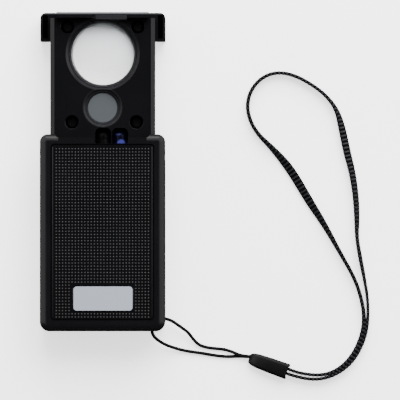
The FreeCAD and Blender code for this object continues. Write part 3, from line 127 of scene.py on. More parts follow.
# The tent: how brightly its cloth glows, at the walls and overhead, and what share of
# that is left on the near side and below. Each ramp runs between two directions, given
# by their height (Z) or by how far they point to the far side (Y).
cloth_glow, overhead_glow = 1.7, 0.004
near_share, below_share = 0.06, 0.12
tent = bpy.data.worlds.new("light_tent")
tent.use_nodes = True
place = add_node(tent, "ShaderNodeTexCoord")
way = add_node(tent, "ShaderNodeSeparateXYZ", {"Vector": place.outputs["Generated"]})
walls = ramp(tent, way.outputs["Z"], 0.88, 0.975, cloth_glow, overhead_glow)
near = ramp(tent, way.outputs["Y"], -0.35, 0.1, near_share, 1.0)
below = ramp(tent, way.outputs["Z"], -0.8, 0.1, below_share, 1.0)
shade = reckon(tent, "MULTIPLY", reckon(tent, "MULTIPLY", walls, near), below)
glow = tent.node_tree.nodes["Background"]
glow.inputs["Color"].default_value = linear("#ffffff")
tent.node_tree.links.new(shade, glow.inputs["Strength"])
bpy.context.scene.world = tent

# The camera: its picture takes in view_width at view_level above the table top.
view_width, view_level = 0.1253, 0.012
view_middle_x, view_middle_y, camera_height = 0.03048, -0.00885, 1.5
sensor_width = 36.0
bpy.ops.object.camera_add(location=(view_middle_x, view_middle_y, camera_height),
                          rotation=(0, 0, 0))
camera = bpy.context.object
camera.name = "photo_camera"
camera.data.sensor_width = sensor_width
camera.data.lens = sensor_width * (camera_height - view_level) / view_width
camera.data.clip_start = 0.01
camera.data.clip_end = 10.0
bpy.context.scene.camera = camera


# Button cells and their contacts. Three plated steel cells stand in the bay of
# the slide, and rolled brass strips touch their side and their end. They were
# pressed and stamped, so the steel keeps a faint drawn grain.

def own_place(finish, stretch=None):
    """Place on the piece itself, in metres, with its axes stretched if asked."""
    place = add_node(finish, "ShaderNodeTexCoord").outputs["Object"]
    if stretch:
        place = add_node(finish, "ShaderNodeMapping", {"Vector": place,
                                                       "Scale": stretch}).outputs["Vector"]
    return place


def noise(finish, place, grain_mm, detail=2.0, roughness=0.5):
    """Soft random pattern with grains of a size."""
    made = add_node(finish, "ShaderNodeTexNoise", {"Vector": place, "Scale": 1000 / grain_mm,
                                                   "Detail": detail, "Roughness": roughness})
    return made.outputs["Fac"]


def lifted(finish, source, strength, depth_mm):
    """Turn a pattern into small lifts of the surface."""
    made = add_node(finish, "ShaderNodeBump", {"Height": source, "Strength": strength,
                                               "Distance": depth_mm / 1000})
    return made.outputs["Normal"]


def feed(finish, skin, **sources):
    """Lead patterns into the sockets of the shader."""
    for socket, source in sources.items():
        finish.node_tree.links.new(source, skin.inputs[socket.replace("_", " ")])


def plated_metal(name, colour, roughness, grain_mm):
    """Bare or plated sheet metal, its shine broken by fine scratches along X."""
    finish, skin = new_finish(name, colour, roughness, Metallic=1.0)
    scratch_mm = 12.5 * grain_mm
    scratches = noise(finish, own_place(finish, (1.0, 12.0, 12.0)), scratch_mm, 4.0)
    feed(finish, skin, Roughness=ramp(finish, scratches, 0, 1, roughness - 0.08, roughness + 0.12),
         Normal=lifted(finish, scratches, 0.3, 0.01))
    return finish


# Nickel plate: a soft, warm grey shine with faint streaks.
cell_finish = plated_metal("nickel_plated_steel", "#c2c1bb", 0.28, 0.3)
for label in ("button_cell_1", "button_cell_2", "button_cell_3"):
    paint(nodes[label], cell_finish)
# Rolled brass: yellow, and a little duller than the plated cells.
brass_finish = plated_metal("rolled_brass", "#cda45a", 0.32, 0.25)
for label in ("side_contact", "top_contact", "power_leaf", "power_contact"):
    paint(nodes[label], brass_finish)


# Circuit board with its resistors. Glass-fibre laminate under green lacquer,
# with tinned tracks, and carbon film resistors lying flat on it. The parts
# were dipped and soldered by hand.

def two_tones(finish, source, low_mark, low_colour, high_mark, high_colour):
    """Colour a pattern with one colour up to a mark and another from a higher mark on."""
    made = add_node(finish, "ShaderNodeValToRGB", {"Fac": source})
    marks = ((low_mark, low_colour), (high_mark, high_colour))
    for stop, (mark, colour) in zip(made.color_ramp.elements, marks):
        stop.position = mark
        stop.color = linear(colour)
    return made.outputs["Color"]


# Solder lacquer: deep green and wet looking, with paler lines where it lies over
# the tracks. A row of the pattern, a quarter of a unit high, is a track of 0.6 mm.
board_finish, board_skin = new_finish("green_solder_lacquer", "#1d5a33", 0.35, Coat_Weight=0.4)
tracks = add_node(board_finish, "ShaderNodeTexBrick",
                  {"Vector": own_place(board_finish), "Scale": 420.0, "Mortar Size": 0.09,
                   "Color1": linear("#1d5a33"), "Color2": linear("#1f6138"),
                   "Mortar": linear("#2f7d4a")})
feed(board_finish, board_skin, Base_Color=tracks.outputs["Color"],
     Normal=lifted(board_finish, tracks.outputs["Fac"], 0.4, 0.03))
paint(nodes["circuit_board"], board_finish)

# Resistor lacquer: pale tan, with thin brown rings 2 mm apart.
resistor_finish, resistor_skin = new_finish("resistor_lacquer", "#c9a97c", 0.4)
rings = add_node(resistor_finish, "ShaderNodeTexWave",
                 {"Vector": own_place(resistor_finish), "Scale": 160.0, "Distortion": 0.0},
                 wave_type="BANDS", bands_direction="X")
feed(resistor_finish, resistor_skin,
     Base_Color=two_tones(resistor_finish, rings.outputs["Fac"], 0.12, "#5a3a1c", 0.2, "#c9a97c"))
paint(nodes["resistors"], resistor_finish)


# Lens slide with its end cap, in two halves. Black ABS, moulded against a
# spark-eroded steel mould, so its faces are satin with a very fine grain. The
# halves close on each other and are screwed together.

def moulded_abs(name, colour, roughness, grain_mm, depth_mm, mirror=0.32):
    """Black moulded plastic: a sheen that varies in soft clouds, over the grain of its mould."""
    cloud_mm, gloss_swing = 14, 0.06
    finish, skin = new_finish(name, colour, roughness, IOR=1.53, Specular_IOR_Level=mirror)
    place = own_place(finish)
    grain = noise(finish, place, grain_mm, 3.0, 0.6)
    feed(finish, skin, Normal=lifted(finish, grain, 1.0, depth_mm),
         Roughness=ramp(finish, noise(finish, place, cloud_mm), 0, 1, roughness - gloss_swing,
                        roughness + gloss_swing))
    return finish


def tinted(finish, share, tone, colour):
    """Lay a colour over a tone by a share."""
    made = add_node(finish, "ShaderNodeMix", {"Factor": share, 6: tone, 7: linear(colour)},
                    data_type="RGBA")
    return made.outputs[2]


def distance_from(finish, spot, stretch=(1, 1, 0)):
    """Distance from a spot, seen from above, with the axes stretched."""
    flat = add_node(finish, "ShaderNodeVectorMath", {0: own_place(finish), 1: stretch},
                    operation="MULTIPLY")
    made = add_node(finish, "ShaderNodeVectorMath",
                    {0: flat.outputs["Vector"], 1: [s * p for s, p in zip(stretch, spot)]},
                    operation="DISTANCE")
    return made.outputs["Value"]


# Satin ABS: near black, with a quiet sheen and no sharp mirror image.
slide_black = "#08080a"
slide_finish = moulded_abs("satin_slide_abs", slide_black, 0.22, 0.3, 0.0012)
for label in ("slide_rear", "slide_front", "small_barrel", "main_lens_ring",
              "small_lens_spacer"):
    paint(nodes[label], slide_finish)

# Three places of the slide are painted lighter, as painted highlights where light falls: a ring
# round each lens on the bevel of its collar, the thumb tab, and the corner along the cap's far
# edge, which catches the light.
ring_highlight_half_width = 0.0008
tab_middle_x, tab_half_length = 0.00278, 0.0049
tab_middle_y, tab_half_width = 0.0482, 0.0008
highlight_from, highlight_full = 0.0656, 0.0660
tone = linear(slide_black)
# Painted highlight: a lighter ring on the bevel round each lens.
for label, radius in (("main_lens", 0.0108), ("small_lens_front", 0.0054)):
    low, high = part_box(label)
    apart = distance_from(slide_finish, (0, (low[1] + high[1]) / 2, 0))
    ring_highlight = reckon(slide_finish, "COMPARE", apart, radius, ring_highlight_half_width)
    tone = tinted(slide_finish, ring_highlight, tone, "#161618")
spot = add_node(slide_finish, "ShaderNodeSeparateXYZ", {"Vector": own_place(slide_finish)})
# Painted highlight on the thumb tab.
across = reckon(slide_finish, "COMPARE", spot.outputs["X"], tab_middle_x, tab_half_length)
along = reckon(slide_finish, "COMPARE", spot.outputs["Y"], tab_middle_y, tab_half_width)
tone = tinted(slide_finish, reckon(slide_finish, "MULTIPLY", across, along), tone, "#2b2b2e")
# Painted highlight along the cap's far edge.
corner = reckon(slide_finish, "ADD", spot.outputs["Y"], spot.outputs["Z"])
edge_highlight = ramp(slide_finish, corner, highlight_from, highlight_full, 0, 1)
tone = tinted(slide_finish, edge_highlight, tone, "#3c3d40")
feed(slide_finish, slide_finish.node_tree.nodes["Principled BSDF"], Base_Color=tone)

# Rougher ABS of the switch: a greyer black that takes less shine.
switch_finish = moulded_abs("ribbed_switch_abs", "#1b1b1c", 0.35, 0.3, 0.003)
for label in ("selector_switch", "selector_knob"):
    paint(nodes[label], switch_finish)


# Lenses. Moulded clear acrylic with polished faces: a large one alone, and a
# small pair across a spacer. They drop into their seats and are held by the
# ring and by the lip of the barrel.

def polished_lens(name, near_tone, far_shade_tone, near_cover, far_cover):
    """Clear acrylic that shows the table through its near left side, with a grey painted over it
    towards its far side as painted shade.
    """
    haze_mm, haze_reach, side_lean = 9, 0.012, 0.4
    near_mark, far_mark = 0.034, 0.053
    finish, skin = new_finish(name, near_tone, 0.05, IOR=1.49, Coat_Weight=0.3)
    place = own_place(finish)
    spot = add_node(finish, "ShaderNodeSeparateXYZ", {"Vector": place})
    haze = noise(finish, place, haze_mm, 1.0)
    slant = reckon(finish, "MULTIPLY_ADD", haze, haze_reach, spot.outputs["Y"])
    slant = reckon(finish, "MULTIPLY_ADD", spot.outputs["X"], side_lean, slant)
    share = ramp(finish, slant, near_mark, far_mark, 0, 1)
    feed(finish, skin, Base_Color=tinted(finish, share, linear(near_tone), far_shade_tone),
         Alpha=ramp(finish, share, 0, 1, near_cover, far_cover),
         Roughness=ramp(finish, haze, 0, 1, 0.02, 0.08))
    return finish


# The large lens is painted near white and nearly clear on its near side, as painted light,
# and greys to its far side, as painted shade. The small pair is painted an even, nearly opaque
# grey, as painted shade.
paint(nodes["main_lens"], polished_lens("polished_acrylic", "#fdfeff", "#d2d7db", 0.08, 0.84))
small_glass = polished_lens("polished_acrylic_small", "#3f4245", "#3a3d40", 0.91, 0.94)
for label in ("small_lens_front", "small_lens_rear"):
    paint(nodes[label], small_glass)


# Lamps. Two round lamps of clear and of violet epoxy lie in their troughs, each
# cast round a steel lead frame with a small cup. Their tips point at the lenses
# and their leads are soldered to the board.

def keep_in_mesh(name):
    """Name the active piece and move its place into its mesh."""
    piece = bpy.context.object
    piece.name = name
    piece.data.name = name
    bpy.ops.object.transform_apply(location=True, rotation=True, scale=True)
    return piece


def start_round(name, middle, radius, depth, vertices, rotation=(0, 0, 0)):
    """Start a piece from a cylinder and open it for editing."""
    bpy.ops.object.select_all(action="DESELECT")
    bpy.ops.mesh.primitive_cylinder_add(vertices=vertices, radius=radius, depth=depth,
                                        location=middle, rotation=rotation)
    piece = keep_in_mesh(name)
    bpy.ops.object.mode_set(mode="EDIT")
    return piece


def start_block(name, middle, size):
    """Start a piece from a block and open it for editing."""
    bpy.ops.object.select_all(action="DESELECT")
    bpy.ops.mesh.primitive_cube_add(size=1.0, location=middle, scale=size)
    piece = keep_in_mesh(name)
    bpy.ops.object.mode_set(mode="EDIT")
    return piece


def pick_faces(test):
    """Select the faces of the piece in edit mode by their middle and normal."""
    bpy.ops.mesh.select_mode(type="FACE")
    shape = bmesh.from_edit_mesh(bpy.context.edit_object.data)
    for face in shape.faces:
        face.select_set(bool(test(face.calc_center_median(), face.normal)))
    bmesh.update_edit_mesh(bpy.context.edit_object.data)


def draw_out(x, y, z):
    """Extrude the selected faces by a way."""
    bpy.ops.mesh.extrude_region_move(TRANSFORM_OT_translate={"value": (x, y, z)})


def close_smooth(angle):
    """Leave edit mode and shade the piece smooth, with its sharper edges kept."""
    bpy.ops.object.mode_set(mode="OBJECT")
    bpy.ops.object.shade_smooth_by_angle(angle=math.radians(angle))


def lamp_epoxy(name, middle, body, line, cup_glow, cover, mirror):
    """Cast epoxy with streaks of gloss, with a painted highlight over the cup and in a line before
    it.
    """
    line_spot, line_reach = (middle - 0.0007, 0.0117, 0), 0.00035
    cup_spot, cup_reach = (middle + 0.0003, 0.0089, 0), 0.0012
    streak_mm = 2.5
    finish, skin = new_finish(name, body, 0.12, IOR=1.52, Alpha=cover,
                              Specular_IOR_Level=mirror)
    tone = linear(body)
    for spot, stretch, reach, colour in ((line_spot, (0.45, 1, 0), line_reach, line),
                                         (cup_spot, (1, 1, 0), cup_reach, cup_glow)):
        share = ramp(finish, distance_from(finish, spot, stretch), reach * 0.8, reach * 1.2, 1, 0)
        tone = tinted(finish, share, tone, colour)
    streaks = noise(finish, own_place(finish), streak_mm)
    feed(finish, skin, Base_Color=tone, Roughness=ramp(finish, streaks, 0, 1, 0.22, 0.34))
    return finish


# Tinned steel: a pale and slightly dull grey.
lead_finish = plated_metal("tinned_lead_frame", "#b9bcbf", 0.3, 0.2)
lamp_length, barrel_length = 0.008, 0.0055
dome_steps = ((0.035, 0.26), (0.095, 0.24), (0.13, 0.2), (0.16, 0.15), (0.19, 0.1), (0.2, 0.045))
lead_width, lead_length, lead_ahead, lead_aside = 0.0005, 0.004, 0.0015, 0.00127
lead_drop, head_ahead, head_length, lead_round = 0.0034, 0.0006, 0.0009, 0.00006

# Both epoxies are painted dark as painted shade for the deep trough: the clear one near black
# and nearly opaque, the violet one a dark blue with its painted highlights over the cup.
for label, slot, finish_name, body, line, cup_glow, cover, mirror in (
        ("white_lamp", "lamp_clear", "clear_epoxy", "#030303", "#060606", "#070707", 0.95, 0.05),
        ("violet_lamp", "lamp_violet", "violet_epoxy", "#01010c", "#161639", "#28295f", 0.98,
         0.1)):
    low, high = (Vector(corner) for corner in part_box(label))
    middle = (low.x + high.x) / 2
    radius = (high.x - low.x) / 2
    axis = high.z - radius
    back = high.y - lamp_length
    epoxy = start_round(label + "_epoxy", (middle, back + barrel_length / 2, axis), radius,
                        barrel_length, 40, (math.radians(90), 0, 0))
    pick_faces(lambda spot, normal: normal.y > 0.9)
    for thickness, depth in dome_steps:
        bpy.ops.mesh.inset(thickness=radius * thickness, depth=radius * depth)
    close_smooth(50)
    paint(epoxy, lamp_epoxy(finish_name, middle, body, line, cup_glow, cover, mirror))
    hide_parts(label)
    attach(epoxy, "slide")
    for side, head_inward in ((-1, 0.0007), (1, 0.0005)):
        lead = start_block(f"{label}_lead_{'left' if side < 0 else 'right'}",
                           (middle + side * lead_aside, back + lead_ahead, axis),
                           (lead_width, lead_length, lead_width))
        pick_faces(lambda spot, normal: normal.y < -0.9)
        draw_out(0, -lead_width, 0)
        pick_faces(lambda spot, normal: normal.z < -0.9 and spot.y < back - lead_width)
        draw_out(0, 0, -lead_drop)
        pick_faces(lambda spot, normal: normal.y > 0.9)
        draw_out(-side * head_inward, head_ahead, 0)
        draw_out(0, head_length, 0)
        bpy.ops.mesh.select_all(action="SELECT")
        bpy.ops.mesh.bevel(offset=lead_round, segments=1)
        bpy.ops.object.mode_set(mode="OBJECT")
        paint(lead, lead_finish)
        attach(lead, "slide")


# Slide screws. Four small blackened steel screws with round heads and cross
# recesses hold the two halves of the slide. Their heads sit deep in the wells
# of the front plate.

# Blackened steel: dark grey, with a metal glint on its rounded rim.
screw_finish = plated_metal("blackened_steel", "#2a2a2c", 0.4, 0.3)
screw_places = ((-0.011, 0.0454), (0.011, 0.0454), (-0.0096, 0.0155), (0.0106, 0.0155))
head_low, head_top, head_radius, head_round = 0.0091, 0.0105, 0.0018, 0.0004
shank_inset, shank_length, shank_taper = 0.0008, 0.0048, 0.0004
cross_length, cross_width, cross_height, cross_arm = 0.0022, 0.0005, 0.0012, 0.00085
for number, (x, y) in enumerate(screw_places, 1):
    screw = start_round(f"slide_screw_{number}", (x, y, (head_low + head_top) / 2), head_radius,
                        head_top - head_low, 32)
    pick_faces(lambda spot, normal: normal.z > 0.9)
    bpy.ops.mesh.bevel(offset=head_round, segments=3, affect="EDGES")
    pick_faces(lambda spot, normal: normal.z < -0.9)
    bpy.ops.mesh.inset(thickness=shank_inset)
    draw_out(0, 0, -shank_length)
    bpy.ops.mesh.inset(thickness=shank_taper, depth=shank_taper)
    bpy.ops.object.mode_set(mode="OBJECT")
    cross = start_block("cross_cutter", (x, y, head_top),
                        (cross_length, cross_width, cross_height))
    bpy.ops.mesh.subdivide(number_cuts=3)
    pick_faces(lambda spot, normal: abs(normal.y) > 0.9 and abs(spot.x - x) < 0.0003)
    bpy.ops.mesh.extrude_region_shrink_fatten(TRANSFORM_OT_shrink_fatten={"value": cross_arm})
    bpy.ops.object.mode_set(mode="OBJECT")
    bpy.ops.object.select_all(action="DESELECT")
    screw.select_set(True)
    bpy.context.view_layer.objects.active = screw
    recess = screw.modifiers.new("recess", "BOOLEAN")
    recess.operation = "DIFFERENCE"
    recess.object = cross
    bpy.ops.object.modifier_apply(modifier="recess")
    bpy.data.objects.remove(cross)
    close_smooth(35)
    paint(screw, screw_finish)
    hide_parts("slide_screws")
    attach(screw, "slide")


# Case. Rear shell, front shell and battery hatch of black ABS, with a slightly
# coarser mould grain than the slide. The shells clip together on a tongue that
# runs round the joint.

# Satin ABS of the case: black, with a touch more grain in its sheen.
case_finish = moulded_abs("satin_case_abs", "#09090b", 0.25, 0.35, 0.0015)
for label in ("rear_shell", "front_shell", "battery_hatch"):
    paint(nodes[label], case_finish)


# Grip panel. A thin black plate glued into its recess, with rows of round dots
# a millimetre apart for the thumb, and a smooth field left round the badge. Fine
# ribs run along its sides and beside the badge. All is one moulding.

# Matt panel ABS: the deepest black of the front, so that the dots stand out.
panel_finish = moulded_abs("matt_panel_abs", "#060607", 0.24, 0.25, 0.001)
paint(nodes["grip_panel"], panel_finish)
# Dot plastic: a dark grey, lighter than the panel, as painted highlight for the fine light points
# of the dots.
dot_highlight_finish = moulded_abs("dot_highlight_abs", "#2c2c2d", 0.3, 0.2, 0.001)
panel_low, panel_high = (Vector(corner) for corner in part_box("grip_panel"))
badge_low, badge_high = (Vector(corner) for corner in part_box("badge_plate"))
panel_top = panel_high.z
columns, first_column, last_column = 30, -0.0144, 0.0144
rows, first_row, last_row = 54, 0.0071, -0.0454
dot_radius, dot_depth, dot_middle = 0.00023, 0.00006, 0.00001
field_half_width, field_low, field_high = 0.0099, -0.0441, -0.03485
dots = start_round("grip_dots", (first_column, first_row, panel_top + dot_middle), dot_radius,
                   dot_depth, 8)
pick_faces(lambda spot, normal: normal.z > 0.9)
for thickness, depth in ((0.00007, 0.00005), (0.00009, 0.00003)):
    bpy.ops.mesh.inset(thickness=thickness, depth=depth)
bpy.ops.object.mode_set(mode="OBJECT")
column_step = (last_column - first_column) / (columns - 1)
row_step = (last_row - first_row) / (rows - 1)
for name, count, step in (("along", columns, (column_step, 0, 0)),
                          ("down", rows, (0, row_step, 0))):
    repeat = dots.modifiers.new(name, "ARRAY")
    repeat.count = count
    repeat.use_relative_offset = False
    repeat.use_constant_offset = True
    repeat.constant_offset_displace = step
    bpy.ops.object.modifier_apply(modifier=name)
bpy.ops.object.mode_set(mode="EDIT")
pick_faces(lambda spot, normal: abs(spot.x) < field_half_width and field_low < spot.y < field_high)
bpy.ops.mesh.delete(type="FACE")
bpy.ops.mesh.select_all(action="SELECT")
bpy.ops.mesh.delete_loose()
close_smooth(60)
paint(dots, dot_highlight_finish)
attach(dots, "case")

# Rib plastic: thin beads beside the panel and the badge, painted a lighter grey than the panel as
# painted highlight, for lines that catch the light.
rib_finish = moulded_abs("rib_highlight_abs", "#161617", 0.2, 0.2, 0.0008)
rib_width, rib_shorter, rib_round = 0.00022, 0.0012, 0.00008
for name, low, high, outset in (("panel_rib", panel_low, panel_high, -0.00035),
                                ("badge_rib", badge_low, badge_high, 0.00022)):
    for side, edge in (("left", low.x - outset), ("right", high.x + outset)):
        rib = start_block(f"{name}_{side}", (edge, (low.y + high.y) / 2, panel_top),
                          (rib_width, high.y - low.y - rib_shorter, rib_width))
        bpy.ops.mesh.select_all(action="SELECT")
        bpy.ops.mesh.bevel(offset=rib_round, segments=2)
        close_smooth(50)
        paint(rib, rib_finish)
        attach(rib, "case")


# Badge. A small aluminium plate with rounded corners, brushed lengthways, under
# a satin silver lacquer. It is set in a bed in the panel and left bare.

# Satin silver lacquer: a cool light grey, nearly even, with soft lengthwise streaks.
badge_finish, badge_skin = new_finish("satin_silver_lacquer", "#a3aab6", 0.5, Metallic=0.4)
brush_mm = 1.5
brushing = noise(badge_finish, own_place(badge_finish, (0.4, 12.0, 12.0)), brush_mm, 4.0)
feed(badge_finish, badge_skin, Roughness=ramp(badge_finish, brushing, 0, 1, 0.26, 0.46),
     Normal=lifted(badge_finish, brushing, 0.25, 0.01))
paint(nodes["badge_plate"], badge_finish)


# Cord loop. A thin black cord of three twisted strands of polyester, limp, that
# goes from the clip through the two holes at the case's corner and back. Both
# ends are held in the clip.

def route_line(name, points, steps):
    """Follow control points, in millimetres, with a smooth line and read it back."""
    line = bpy.data.curves.new(name, "CURVE")
    line.dimensions = "3D"
    spline = line.splines.new("NURBS")
    spline.points.add(len(points) - 1)
    for knot, point in zip(spline.points, points):
        knot.co = [coordinate / 1000 for coordinate in point] + [1.0]
    spline.order_u = 3
    spline.use_endpoint_u = True
    line.resolution_u = steps
    carrier = bpy.data.objects.new(name, line)
    bpy.context.scene.collection.objects.link(carrier)
    bpy.context.view_layer.update()
    read = bpy.data.meshes.new_from_object(carrier)
    spots = [corner.co.copy() for corner in read.vertices]
    bpy.data.objects.remove(carrier)
    bpy.data.meshes.remove(read)
    return spots


def travelled(spots):
    """Distance along a line at each of its points."""
    sums = [0.0]
    for here, ahead in zip(spots, spots[1:]):
        sums.append(sums[-1] + (ahead - here).length)
    return sums


def directions(spots):
    """Direction of a line at each of its points."""
    ends = [spots[0]] + list(spots) + [spots[-1]]
    return [(after - before).normalized() for before, after in zip(ends, ends[2:])]


def tube_mesh(name, rings, along):
    """Join rings of points into a closed tube with a map that runs along it, in millimetres."""
    shape = bmesh.new()
    layer = shape.loops.layers.uv.new("along")
    grid = [[shape.verts.new(spot) for spot in ring] for ring in rings]
    sides = len(rings[0])
    for row in range(len(grid) - 1):
        for side in range(sides):
            after = (side + 1) % sides
            face = shape.faces.new((grid[row][side], grid[row][after], grid[row + 1][after],
                                    grid[row + 1][side]))
            face.smooth = True
            corners = ((along[row], side), (along[row], side + 1), (along[row + 1], side + 1),
                       (along[row + 1], side))
            for loop, (length, turn) in zip(face.loops, corners):
                loop[layer].uv = (length * 1000, turn / sides)
    shape.faces.new(grid[0][::-1])
    shape.faces.new(grid[-1])
    bmesh.ops.recalc_face_normals(shape, faces=shape.faces)
    mesh = bpy.data.meshes.new(name)
    shape.to_mesh(mesh)
    shape.free()
    piece = bpy.data.objects.new(name, mesh)
    bpy.context.scene.collection.objects.link(piece)
    return piece


cord_route = ((46.6, -58.35, 0.72), (43.2, -58.1, 0.68), (39.0, -58.35, 0.56),
              (35.0, -57.9, 0.55), (30.4, -57.1, 0.56), (26.0, -56.5, 0.8), (22.6, -55.6, 1.5),
              (19.6, -54.5, 2.5), (17.3, -53.1, 3.5), (15.7, -51.6, 4.3), (15.2, -49.6, 4.5),
              (15.5, -47.9, 4.5), (17.3, -46.4, 4.5), (19.3, -46.1, 4.5), (21.5, -46.8, 4.2),
              (23.4, -48.1, 3.6), (25.3, -49.5, 2.9), (26.9, -50.7, 2.3), (28.2, -52.6, 1.5),
              (30.0, -54.5, 0.9), (32.1, -55.3, 0.6), (34.8, -55.7, 0.55), (37.7, -55.9, 0.6),
              (40.3, -56.6, 0.9), (42.7, -57.7, 1.4), (44.4, -58.05, 1.68), (46.6, -58.25, 1.74))
cord_width, lay_length = 0.0011, 0.0021
cord_sides, strands, groove = 15, 3, 0.12
up = Vector((0, 0, 1))
cord_line = route_line("cord_route", cord_route, 12)
cord_sums = travelled(cord_line)
rings = []
for spot, ahead, run in zip(cord_line, directions(cord_line), cord_sums):
    aside = ahead.cross(up).normalized()
    above = aside.cross(ahead)
    twist = 2 * math.pi * run / lay_length
    ring = []
    for side in range(cord_sides):
        turn = 2 * math.pi * side / cord_sides
        bulge = 1 - groove + groove * abs(math.cos(strands / 2 * (turn - twist)))
        outward = aside * math.cos(turn) + above * math.sin(turn)
        ring.append(spot + outward * bulge * cord_width / 2)
    rings.append(ring)
cord = tube_mesh("wrist_cord", rings, cord_sums)
# Twisted polyester: a soft black without shine, whose fibres break up the light.
cord_finish, cord_skin = new_finish("twisted_polyester", "#0b0b0c", 0.75, Specular_IOR_Level=0.1)
strand_map = add_node(cord_finish, "ShaderNodeUVMap", uv_map="along")
stretch = add_node(cord_finish, "ShaderNodeMapping", {"Vector": strand_map.outputs["UV"],
                                                      "Scale": (3.0, 9.0, 1.0)})
fibres = add_node(cord_finish, "ShaderNodeTexNoise", {"Vector": stretch.outputs["Vector"],
                                                      "Scale": 4.0, "Detail": 3.0})
feed(cord_finish, cord_skin, Normal=lifted(cord_finish, fibres.outputs["Fac"], 0.6, 0.03))
paint(cord, cord_finish)
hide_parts("cord_loop")
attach(cord, "case")


# Strap clip. A black moulded sleeve that joins cord and strap: rounded at its
# nose, soon at its full width and open at its far end, where two low ears stand
# beside the mouth and the strap is pressed in. It lies flat on the table.

clip_length, clip_width, clip_height, clip_wall = 0.0127, 0.0050, 0.0038, 0.00035
clip_round, nose_inset, nose_depth = 0.00095, 0.0004, 0.0002
mouth_depth, rim_setback = 0.0022, 0.00025
straight_part, straight_taper = clip_length * 0.5, 0.96
nose_steps = ((0.3, 0.92), (0.12, 0.89), (0.08, 0.77))
clip_turn, clip_place = -19.7, (0.0462, -0.05875, 0)
clip = start_block("moulded_clip", (clip_length - straight_part / 2, 0, clip_height / 2),
                   (straight_part, clip_width, clip_height))
pick_faces(lambda spot, normal: normal.x < -0.9)
bpy.ops.transform.resize(value=(1.0, straight_taper, straight_taper), center_override=(0, 0, 0))
for step, share in nose_steps:
    draw_out(-step * clip_length, 0, 0)
    bpy.ops.transform.resize(value=(1.0, share, share), center_override=(0, 0, 0))
bpy.ops.mesh.select_mode(type="EDGE")
shape = bmesh.from_edit_mesh(clip.data)
for edge in shape.edges:
    near, far = sorted(corner.co.x for corner in edge.verts)
    edge.select_set(far - near > 0.0005)
bmesh.update_edit_mesh(clip.data)
bpy.ops.mesh.bevel(offset=clip_round, segments=5)
pick_faces(lambda spot, normal: normal.x < -0.9)
bpy.ops.mesh.inset(thickness=nose_inset, depth=nose_depth)
pick_faces(lambda spot, normal: normal.x > 0.9)
bpy.ops.mesh.inset(thickness=clip_wall)
draw_out(-mouth_depth, 0, 0)
pick_faces(lambda spot, normal: spot.x > clip_length - 0.00001 and abs(spot.y) < 0.0005)
bpy.ops.transform.translate(value=(-rim_setback, 0, 0))
close_smooth(35)
clip.rotation_euler.z = math.radians(clip_turn)
clip.location = clip_place
bpy.ops.object.transform_apply(location=True, rotation=True, scale=True)
# Matt clip plastic: a flat black whose coarse grain leaves only a dull edge light.
clip_finish = moulded_abs("matt_clip_plastic", "#040405", 0.4, 0.4, 0.004, mirror=0.25)
paint(clip, clip_finish)
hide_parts("strap_clip")
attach(clip, "case")


# Wrist strap. A woven black polyester tape with fine cross ribs, both ends in
# the clip. It stands on edge on the table and leans over where it is twisted,
# so that its ribbed face shows there.

# The route: X and Y in millimetres, and how far the tape leans, in degrees.
strap_route = ((56.4, -61.5, 0), (58.1, -62.05, 0), (60.6, -63.05, 0), (64.0, -63.8, 0),
               (67.4, -64.1, 2), (70.5, -63.8, 3), (73.5, -62.6, 5), (76.5, -60.4, 8),
               (78.9, -57.4, 10), (80.6, -54.2, 12), (81.8, -50.6, 12), (82.3, -46.7, 9),
               (81.8, -41.5, 6), (79.5, -33.9, 6), (74.5, -25.2, 9), (69.6, -16.4, 26),
               (64.9, -9.2, 56), (59.1, 0.8, 68), (53.4, 7.4, 22), (48.3, 12.3, 7),
               (45.7, 17.6, 7), (45.4, 22.5, 7), (47.2, 27.0, 7), (50.8, 30.3, 7),
               (55.2, 31.5, 6), (60.3, 30.5, 8), (65.4, 27.8, 7), (70.1, 24.3, 7),
               (73.6, 19.8, 14), (75.3, 13.9, 44), (76.7, 6.8, 50), (78.6, -0.4, 36),
               (79.7, -8.2, 30), (80.0, -15.1, 24), (79.9, -20.6, 8), (81.0, -27.0, 14),
               (82.4, -34.0, 7), (83.4, -40.0, 2), (83.5, -46.4, 0), (82.9, -50.9, 0),
               (81.6, -54.6, 0), (79.8, -58.1, 0), (77.2, -61.2, 0), (74.0, -63.5, 0),
               (70.7, -64.9, 0), (67.4, -65.45, 0), (64.0, -65.25, 0), (60.3, -64.4, 0),
               (57.5, -63.45, 0), (55.9, -62.8, 0))
tape_width = 3.0
tape_thickness = 1.12
table_gap, end_lift = 0.05, 0.3
rib_pitch, thin_share, narrow_share = 0.00128, 0.8, 0.97
tape_outline = ((-1.0, 0.0), (-0.97, 0.55), (-0.85, 0.92), (-0.45, 1.0), (0.0, 1.0), (0.45, 1.0),
                (0.85, 0.92), (0.97, 0.55), (1.0, 0.0), (0.97, -0.55), (0.85, -0.92),
                (0.45, -1.0), (0.0, -1.0), (-0.45, -1.0), (-0.85, -0.92), (-0.97, -0.55))


def tape_height(lean):
    """Height of the tape's middle when it leans over by so many degrees."""
    turn = math.radians(lean)
    return (tape_width * math.cos(turn) + tape_thickness * math.sin(turn)) / 2 + table_gap


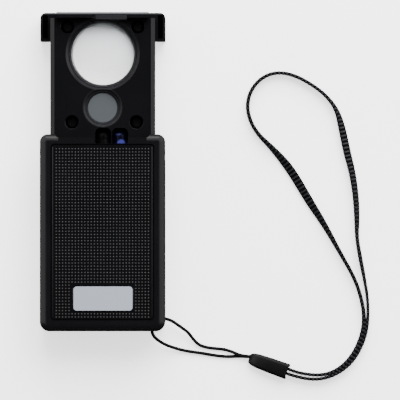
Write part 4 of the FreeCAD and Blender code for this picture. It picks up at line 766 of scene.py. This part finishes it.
strap_points = [[x, y, tape_height(lean)] for x, y, lean in strap_route]
for end in (0, 1, -2, -1):
    strap_points[end][2] += end_lift
strap_line = route_line("strap_route", strap_points, 20)
lean_points = [(lean, 0, 0) for x, y, lean in strap_route]
leans = [spot.x * 1000 for spot in route_line("strap_leans", lean_points, 20)]
strap_sums = travelled(strap_line)
rings = []
for spot, ahead, run, lean in zip(strap_line, directions(strap_line), strap_sums, leans):
    level = Vector((ahead.x, ahead.y, 0)).normalized()
    left = up.cross(level)
    turn = math.radians(lean)
    across = up * math.cos(turn) - left * math.sin(turn)
    out = level.cross(across)
    swell = 0.5 + 0.5 * math.cos(2 * math.pi * run / rib_pitch)
    fat = tape_thickness / 2000 * (thin_share + (1 - thin_share) * swell)
    wide = tape_width / 2000 * (narrow_share + (1 - narrow_share) * swell)
    rings.append([spot + across * wide * a + out * fat * b for a, b in tape_outline])
strap = tube_mesh("wrist_strap", rings, strap_sums)
# Woven polyester: a soft black without shine. The ribs are painted as dark grey lines with black
# between them, a painted highlight on their crests and painted shade between, over the fine slant
# of the threads.
strap_finish, strap_skin = new_finish("woven_polyester", "#0b0b0c", 0.8, Specular_IOR_Level=0.05)
thread_map = add_node(strap_finish, "ShaderNodeUVMap", uv_map="along")
stretch = add_node(strap_finish, "ShaderNodeMapping", {"Vector": thread_map.outputs["UV"],
                                                       "Scale": (1.0, 8.0, 1.0)})
threads = add_node(strap_finish, "ShaderNodeTexWave",
                   {"Vector": stretch.outputs["Vector"], "Scale": 0.6, "Distortion": 1.5,
                    "Detail": 2.0}, wave_type="BANDS", bands_direction="DIAGONAL")
ribs = add_node(strap_finish, "ShaderNodeTexWave",
                {"Vector": thread_map.outputs["UV"], "Scale": math.pi / 10 / (rib_pitch * 1000),
                 "Distortion": 0.4, "Detail": 1.0}, wave_type="BANDS", bands_direction="X")
feed(strap_finish, strap_skin,
     Base_Color=two_tones(strap_finish, ribs.outputs["Fac"], 0.0, "#29292b", 0.55, "#020203"),
     Normal=lifted(strap_finish, threads.outputs["Fac"], 0.7, 0.05))
paint(strap, strap_finish)
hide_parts("strap_webbing")
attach(strap, "case")
